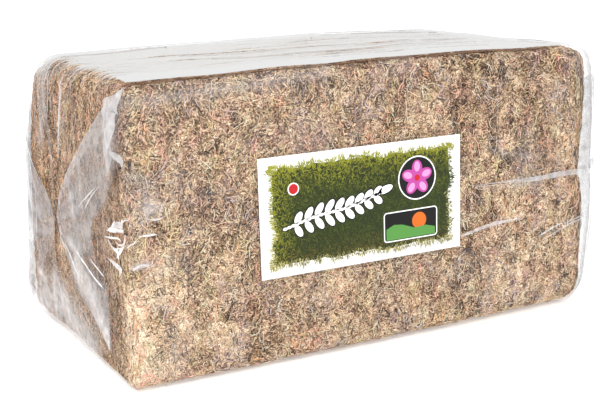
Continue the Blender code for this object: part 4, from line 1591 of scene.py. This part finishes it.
class Print(Gathering):
    """Flat printed shapes, gathered into one mesh."""

    def shape(self, spots, ink, lift):
        """A filled outline that its own middle sees whole."""
        spots = np.asarray(spots, dtype=float)
        count = len(spots)
        places = on_label(np.concatenate([spots, spots.mean(axis=0, keepdims=True)]), lift)
        triangles = [(i, (i + 1) % count, count) for i in range(count)]
        self.add(places, triangles, ink=np.broadcast_to(ink, (count + 1, 3)))

    def oval(self, centre, radii, turn, ink, lift, points=20):
        angles = np.linspace(0, 2 * np.pi, points, endpoint=False)
        flat = np.stack([radii[0] * np.cos(angles), radii[1] * np.sin(angles)], axis=1)
        spin = np.array(((math.cos(turn), math.sin(turn)), (-math.sin(turn), math.cos(turn))))
        self.shape(flat @ spin + np.asarray(centre), ink, lift)

    def panel(self, centre, half, radius, ink, lift):
        """A rectangle with rounded corners."""
        angles = np.radians(np.arange(0, 360, 15))
        reach = np.stack([np.cos(angles), np.sin(angles)], axis=1)
        corners = np.sign(np.round(reach, 6) + 1e-9) * (np.asarray(half) - radius)
        self.shape(corners + reach * radius + np.asarray(centre), ink, lift)


# The green field: its size, the blades over it and round its ragged edge, and how they scatter
FIELD_HALF = (0.1050, 0.0520)
BLADE_COUNT = 7000
EDGE_BLADE_COUNT = 2600
FIELD_MARGIN = 0.006
FIELD_POINTS = 180
FIELD_INK = DEEP_GREEN * 0.8
BLADE_WIDTH = (0.00045, 0.0009)
BLADE_LENGTH = (0.0025, 0.006)
BLADE_SCATTER = 0.9
BLADE_WIDEST = 0.4
BLADE_LIFT = (0.00005, 0.00016)
BLADE_RISES = np.array((0.0, 0.00002, 0.00006, 0.00002))
EDGE_BLADE_LENGTH = (0.0030, 0.0065)
EDGE_BLADE_START = (-0.0015, 0.0045)
EDGE_BLADE_SCATTER = 0.3
# How far the field ends inside its outline, as the mean and waves of (height, size, shift)
FIELD_INSET = 0.0045
FIELD_WAVES = ((0.0030, 0.016, 51.0), (0.0020, 0.006, 57.0))
# Waves by which the blades round the edge lean, and by which they grow longer in tufts
EDGE_LEANS = ((0.9, 0.007, 67.0),)
EDGE_TUFTS = ((0.8, 0.0045, 63.0),)
# Where the inks turn lime towards the top and the left, and brown towards the foot, and how fast
INK_PATCH_SIZE = 0.018
LIME_FROM, LIME_RATE, LIME_PATCHES = 0.35, 1.5, 0.25
SIDE_FROM, SIDE_RATE = 0.72, 4
MID_SHARE, MID_PATCHES = 0.35, 0.5
BROWN_FROM, BROWN_RATE = 0.62, 2.2
# Scatter of the shares of lime, of lime at the left side, of middle green and of brown
INK_SCATTER = (0.22, 0.3, 0.3, 0.3)
SIDE_LIME = 0.8
MOST_BROWN = 0.7


def blade_inks(rng, spots):
    """Greens of the printed moss: lime along the top, deep in the middle, brown below."""
    level = spots[:, 1] / FIELD_HALF[1]
    to_left = -spots[:, 0] / FIELD_HALF[0]
    patch = flat_noise(spots, INK_PATCH_SIZE, 4.0)
    lean_to = (LIME_PATCHES * patch + LIME_RATE * (level - LIME_FROM), (to_left - SIDE_FROM) * SIDE_RATE,
               MID_SHARE + MID_PATCHES * patch, (-level - BROWN_FROM) * BROWN_RATE)
    lime, side, mid, brown = (np.clip(base + rng.normal(0, scatter, len(spots)), 0, 1)[:, None]
                              for base, scatter in zip(lean_to, INK_SCATTER))
    inks = DEEP_GREEN + (MID_GREEN - DEEP_GREEN) * mid
    inks = inks + (LIME - inks) * np.maximum(lime, side * SIDE_LIME)
    return inks + (OLIVE_BROWN - inks) * (brown * MOST_BROWN)


def add_blades(print_, rng, spots, headings, lengths, inks):
    """Narrow pointed blades, each tilted a hair off the paper."""
    count = len(spots)
    widths = rng.uniform(*BLADE_WIDTH, count)
    step = np.stack([np.cos(headings), np.sin(headings)], axis=1)
    half = np.stack([-step[:, 1], step[:, 0]], axis=1) * widths[:, None] / 2
    middle = spots + step * lengths[:, None] * BLADE_WIDEST
    flat = np.stack([spots, middle - half, spots + step * lengths[:, None], middle + half], axis=1)
    lift = rng.uniform(*BLADE_LIFT, count)[:, None] + BLADE_RISES
    base = np.arange(count)[:, None, None] * 4
    triangles = (np.array(((0, 1, 2), (0, 2, 3)))[None] + base).reshape(-1, 3)
    print_.add(on_label(flat.reshape(-1, 2), lift.ravel()), triangles, ink=np.repeat(inks, 4, axis=0))


def around_field(shares):
    """Points and outward headings at the given shares of the way around the field."""
    corners = np.array(((-1, 1), (1, 1), (1, -1), (-1, -1), (-1, 1))) * FIELD_HALF
    steps = np.diff(corners, axis=0)
    lengths = np.linalg.norm(steps, axis=1)
    before = np.concatenate([[0.0], np.cumsum(lengths)])
    passed = shares * before[-1]
    side = np.searchsorted(before[1:-1], passed, side="right")
    along = ((passed - before[side]) / lengths[side])[:, None]
    return corners[side] + steps[side] * along, np.array((90, 0, -90, 180))[side] * math.pi / 180


def waves_at(spots, waves):
    """What waves of (height, size, shift) add up to at flat points."""
    return sum(height * flat_noise(spots, size, shift) for height, size, shift in waves)


def field_inset(spots):
    """How far the ragged field ends inside its outline."""
    return FIELD_INSET + waves_at(spots, FIELD_WAVES)


def print_field(print_, rng):
    """The ragged green field."""
    spots, _ = around_field(np.linspace(0, 1, FIELD_POINTS, endpoint=False))
    print_.shape(spots * (1 - field_inset(spots)[:, None] / FIELD_HALF), FIELD_INK, FIELD_LIFT)
    spots = rng.uniform(-1, 1, (BLADE_COUNT, 2)) * (np.array(FIELD_HALF) - FIELD_MARGIN)
    headings = rng.normal(math.pi / 2, BLADE_SCATTER, BLADE_COUNT)
    lengths = rng.uniform(*BLADE_LENGTH, BLADE_COUNT)
    add_blades(print_, rng, spots, headings, lengths, blade_inks(rng, spots))


def print_ragged_edge(print_, rng):
    """Blades that stand out round the edge of the field."""
    count = EDGE_BLADE_COUNT
    edges, outs = around_field(rng.random(count))
    inwards = -np.stack([np.cos(outs), np.sin(outs)], axis=1)
    starts = edges + inwards * (field_inset(edges) + rng.uniform(*EDGE_BLADE_START, count))[:, None]
    headings = outs + waves_at(edges, EDGE_LEANS) + rng.normal(0, EDGE_BLADE_SCATTER, count)
    lengths = rng.uniform(*EDGE_BLADE_LENGTH, count) * (1 + waves_at(edges, EDGE_TUFTS))
    inks = blade_inks(rng, starts)
    pale = rng.random(count)[:, None] ** 2 * (starts[:, 1:] < 0)
    add_blades(print_, rng, starts, headings, lengths, inks + (PALE_TIP - inks) * pale)


# The sprig: its stem from end to end, its leaves' places along it, and its last leaf
SPRIG_STEM = ((-0.088, -0.012), (-0.055, -0.004), (-0.020, 0.000), (0.018, 0.010))
SPRIG_LEAVES = np.linspace(0.10, 0.93, 9)
SPRIG_OUTLINE = 0.0011
STEM_RADII = (0.0026, 0.0016)
STEM_OUTLINE_SHARE = 0.9
STEM_TURN = 0.1
LAST_LEAF = (0.0068, 0.0028)
LAST_LEAF_RADII = (0.0085, 0.0038)
LAST_LEAF_TURN = 0.3
# Leaves are longest at one place along the stem, and lie closer to it towards its tip
LONGEST_LEAF, LONGEST_AT, LEAF_SHORTENING = 0.0150, 0.40, 0.0065
LEAF_TURN, LEAF_CLOSING = 1.05, 0.35
LEAF_WIDTH = 0.0036
LEAF_REACH = 0.95
LEAF_SHIFT = 0.12


def heading_at(turn):
    return np.array((math.cos(turn), math.sin(turn)))


def print_sprig(print_, grow, ink, lift):
    """A leafy sprig lying along the field, made bigger by the given amount for its outline."""
    spine = smooth_path(SPRIG_STEM, np.linspace(0, 1, 25))
    radii = (STEM_RADII[0] + grow, STEM_RADII[1] + grow * STEM_OUTLINE_SHARE)
    for spot in spine:
        print_.oval(spot, radii, STEM_TURN, ink, lift)
    for place, spot in zip(SPRIG_LEAVES, smooth_path(SPRIG_STEM, SPRIG_LEAVES)):
        size = LONGEST_LEAF - LEAF_SHORTENING * abs(place - LONGEST_AT)
        for side in (-1, 1):
            turn = side * (LEAF_TURN - LEAF_CLOSING * place)
            tip = spot + size * LEAF_REACH * heading_at(turn)
            centre = (spot + tip) / 2 + (tip - spot) * LEAF_SHIFT
            print_.oval(centre, (size / 2 + grow, LEAF_WIDTH + grow), turn, ink, lift)
    radii = [radius + grow for radius in LAST_LEAF_RADII]
    print_.oval(spine[-1] + LAST_LEAF, radii, LAST_LEAF_TURN, ink, lift)


# The dot and the two pictures, from the label's centre
DOT_CENTRE = (-0.078, 0.026)
DOT_RADII = (0.0062, 0.0050)
FLOWER_CENTRE = np.array((0.062, 0.020))
FLOWER_RADII = (0.0225, 0.0212)
FLOWER_EYE = 0.0032
PETALS = 5
PETAL_REACHES = (0.0095, 0.002)
PETAL_RADII = ((0.0088, 0.0062), (0.0052, 0.0034))
VIEW_CENTRE = np.array((0.054, -0.027))
VIEW_HALF = np.array((0.032, 0.0155))
VIEW_BORDER = 0.0012
VIEW_CORNERS = (0.004, 0.003)
SUN = (0.010, 0.003)
SUN_RADIUS = 0.0085
HILL = (
    (-0.029, -0.0135), (0.029, -0.0135), (0.029, -0.006), (0.018, -0.003),
    (0.004, -0.004), (-0.010, 0.001), (-0.020, 0.002), (-0.029, -0.002),
)


def print_disc(print_, centre, radius, ink, lift, points=20):
    print_.oval(centre, (radius, radius), 0, ink, lift, points)


def print_dot(print_):
    """A red dot with a white edge."""
    outer, inner = DOT_RADII
    print_disc(print_, DOT_CENTRE, outer, PRINT_WHITE, PICTURE_LIFT, 28)
    print_disc(print_, DOT_CENTRE, inner, PRINT_RED, SPRIG_LIFT, 28)


def print_flower(print_):
    """A round framed picture of a pink flower."""
    outer, inner = FLOWER_RADII
    print_disc(print_, FLOWER_CENTRE, outer, PRINT_WHITE, PICTURE_LIFT, 40)
    print_disc(print_, FLOWER_CENTRE, inner, PRINT_DARK, PICTURE_LIFT + PRINT_STEP, 40)
    for petal in range(PETALS):
        turn = math.radians(90 + 360 / PETALS * petal)
        spot = FLOWER_CENTRE + PETAL_REACHES[0] * heading_at(turn)
        lift = PICTURE_LIFT + 2 * PRINT_STEP + petal * PETAL_STEP
        print_.oval(spot, PETAL_RADII[0], turn, PRINT_PINK, lift)
        spot = spot + PETAL_REACHES[1] * heading_at(turn)
        print_.oval(spot, PETAL_RADII[1], turn, PRINT_ROSE, lift + PRINT_STEP)
    print_disc(print_, FLOWER_CENTRE, FLOWER_EYE, PRINT_RED, PICTURE_LIFT + 4 * PRINT_STEP)


def print_view(print_):
    """A wide framed picture of a hill and a sun."""
    outer, inner = VIEW_CORNERS
    print_.panel(VIEW_CENTRE, VIEW_HALF, outer, PRINT_WHITE, PICTURE_LIFT)
    print_.panel(VIEW_CENTRE, VIEW_HALF - VIEW_BORDER, inner, PRINT_DARK, PICTURE_LIFT + PRINT_STEP)
    print_disc(print_, VIEW_CENTRE + SUN, SUN_RADIUS, PRINT_ORANGE, PICTURE_LIFT + 2 * PRINT_STEP, 28)
    print_.shape(np.array(HILL) + VIEW_CENTRE, PRINT_LEAF, PICTURE_LIFT + 3 * PRINT_STEP)


def add_paper(material):
    """The label's sheet, of real thickness."""
    rows, columns = (cells + 1 for cells in LABEL_CELLS)
    wide, tall = LABEL_SIZE
    grid = np.meshgrid(np.linspace(-wide / 2, wide / 2, rows), np.linspace(-tall / 2, tall / 2, columns),
                       indexing="ij")
    spots = np.stack([shares.ravel() for shares in grid], axis=1)
    paper = make_piece("label_paper", on_label(spots, 0.0), grid_quads(rows, columns), material, "label",
                       ink=np.tile(PRINT_WHITE, (len(spots), 1)))
    back = paper.modifiers.new("paper_thickness", "SOLIDIFY")
    back.thickness = PAPER_THICKNESS
    back.offset = -1.0


def add_label():
    """The paper with its print, flat shapes on its face."""
    rng = np.random.default_rng(SEED + 90)
    material = label_material()
    add_paper(material)
    print_ = Print()
    print_field(print_, rng)
    print_ragged_edge(print_, rng)
    print_sprig(print_, SPRIG_OUTLINE, PRINT_DARK, PICTURE_LIFT)
    print_sprig(print_, 0.0, PRINT_WHITE, SPRIG_LIFT)
    print_dot(print_)
    print_flower(print_)
    print_view(print_)
    print_.piece("label_print", material, "label")


# Stage

FLOOR_HALF = 15.0
FLOOR_COLOUR = (0.93, 0.93, 0.93, 1.0)
FLOOR_GLOW = 0.30
WHITE = (1.0, 1.0, 1.0, 1.0)
CAMERA_PLACE = Vector((-0.6068, -1.1434, 0.4072))
CAMERA_YAW = math.radians(27.830)
CAMERA_PITCH = math.radians(12.639)
CAMERA_ROLL = math.radians(-1.312)
CAMERA_LENS = 69.54
CAMERA_SENSOR = 36.0
CAMERA_FAR = 100.0

# Softboxes as name, place, size and power
SOFTBOXES = (
    ("softbox_key", (-1.50, -2.10, 2.20), 2.4, 52.0),
    ("softbox_fill", (2.30, -2.60, 1.60), 2.0, 20.0),
    ("softbox_back", (-2.20, 2.40, 1.80), 2.0, 14.0),
)


def add_camera():
    """The camera of the photograph: aimed by its yaw, pitch and roll."""
    cos_pitch = math.cos(CAMERA_PITCH)
    forward = Vector((math.sin(CAMERA_YAW) * cos_pitch, math.cos(CAMERA_YAW) * cos_pitch,
                      -math.sin(CAMERA_PITCH)))
    level = Vector((math.cos(CAMERA_YAW), -math.sin(CAMERA_YAW), 0.0))
    above = level.cross(forward)
    right = level * math.cos(CAMERA_ROLL) + above * math.sin(CAMERA_ROLL)
    upward = above * math.cos(CAMERA_ROLL) - level * math.sin(CAMERA_ROLL)
    lens = bpy.data.cameras.new("photo_camera")
    lens.lens = CAMERA_LENS
    lens.sensor_width = CAMERA_SENSOR
    lens.clip_end = CAMERA_FAR
    camera = bpy.data.objects.new("photo_camera", lens)
    turn = Matrix((right, upward, -forward)).transposed()
    camera.matrix_world = Matrix.Translation(CAMERA_PLACE) @ turn.to_4x4()
    bpy.context.scene.collection.objects.link(camera)
    bpy.context.scene.camera = camera


def floor_material():
    material, tree = new_material("white_floor")
    shader = add_node(tree, "BsdfPrincipled", FLOOR_COLOUR, Roughness=0.9, Emission_Color=WHITE,
                      Emission_Strength=FLOOR_GLOW)
    add_node(tree, "OutputMaterial", shader)
    return material


def add_floor():
    data = bpy.data.meshes.new("white_floor")
    corners = [(x * FLOOR_HALF, y * FLOOR_HALF, 0) for x, y in ((-1, -1), (1, -1), (1, 1), (-1, 1))]
    data.from_pydata(corners, [], [(0, 1, 2, 3)])
    data.materials.append(floor_material())
    floor = bpy.data.objects.new("white_floor", data)
    bpy.context.scene.collection.objects.link(floor)


def add_lights():
    world = bpy.data.worlds.new("white_studio")
    world.use_nodes = True
    background = world.node_tree.nodes["Background"]
    background.inputs["Color"].default_value = WHITE
    background.inputs["Strength"].default_value = 1.0
    bpy.context.scene.world = world
    target = Vector((0.0, 0.0, CENTRE[2]))
    for name, place, size, power in SOFTBOXES:
        lamp = bpy.data.lights.new(name, "AREA")
        lamp.shape = "SQUARE"
        lamp.size = size
        lamp.energy = power
        light = bpy.data.objects.new(name, lamp)
        light.location = place
        light.rotation_euler = (target - Vector(place)).to_track_quat("-Z", "Y").to_euler()
        bpy.context.scene.collection.objects.link(light)


add_camera()
add_floor()
add_lights()
moss_strands = moss_strand_material()
add_moss(moss_strands)
add_film(moss_strands)
add_label()
bpy.context.scene.view_settings.view_transform = "Standard"
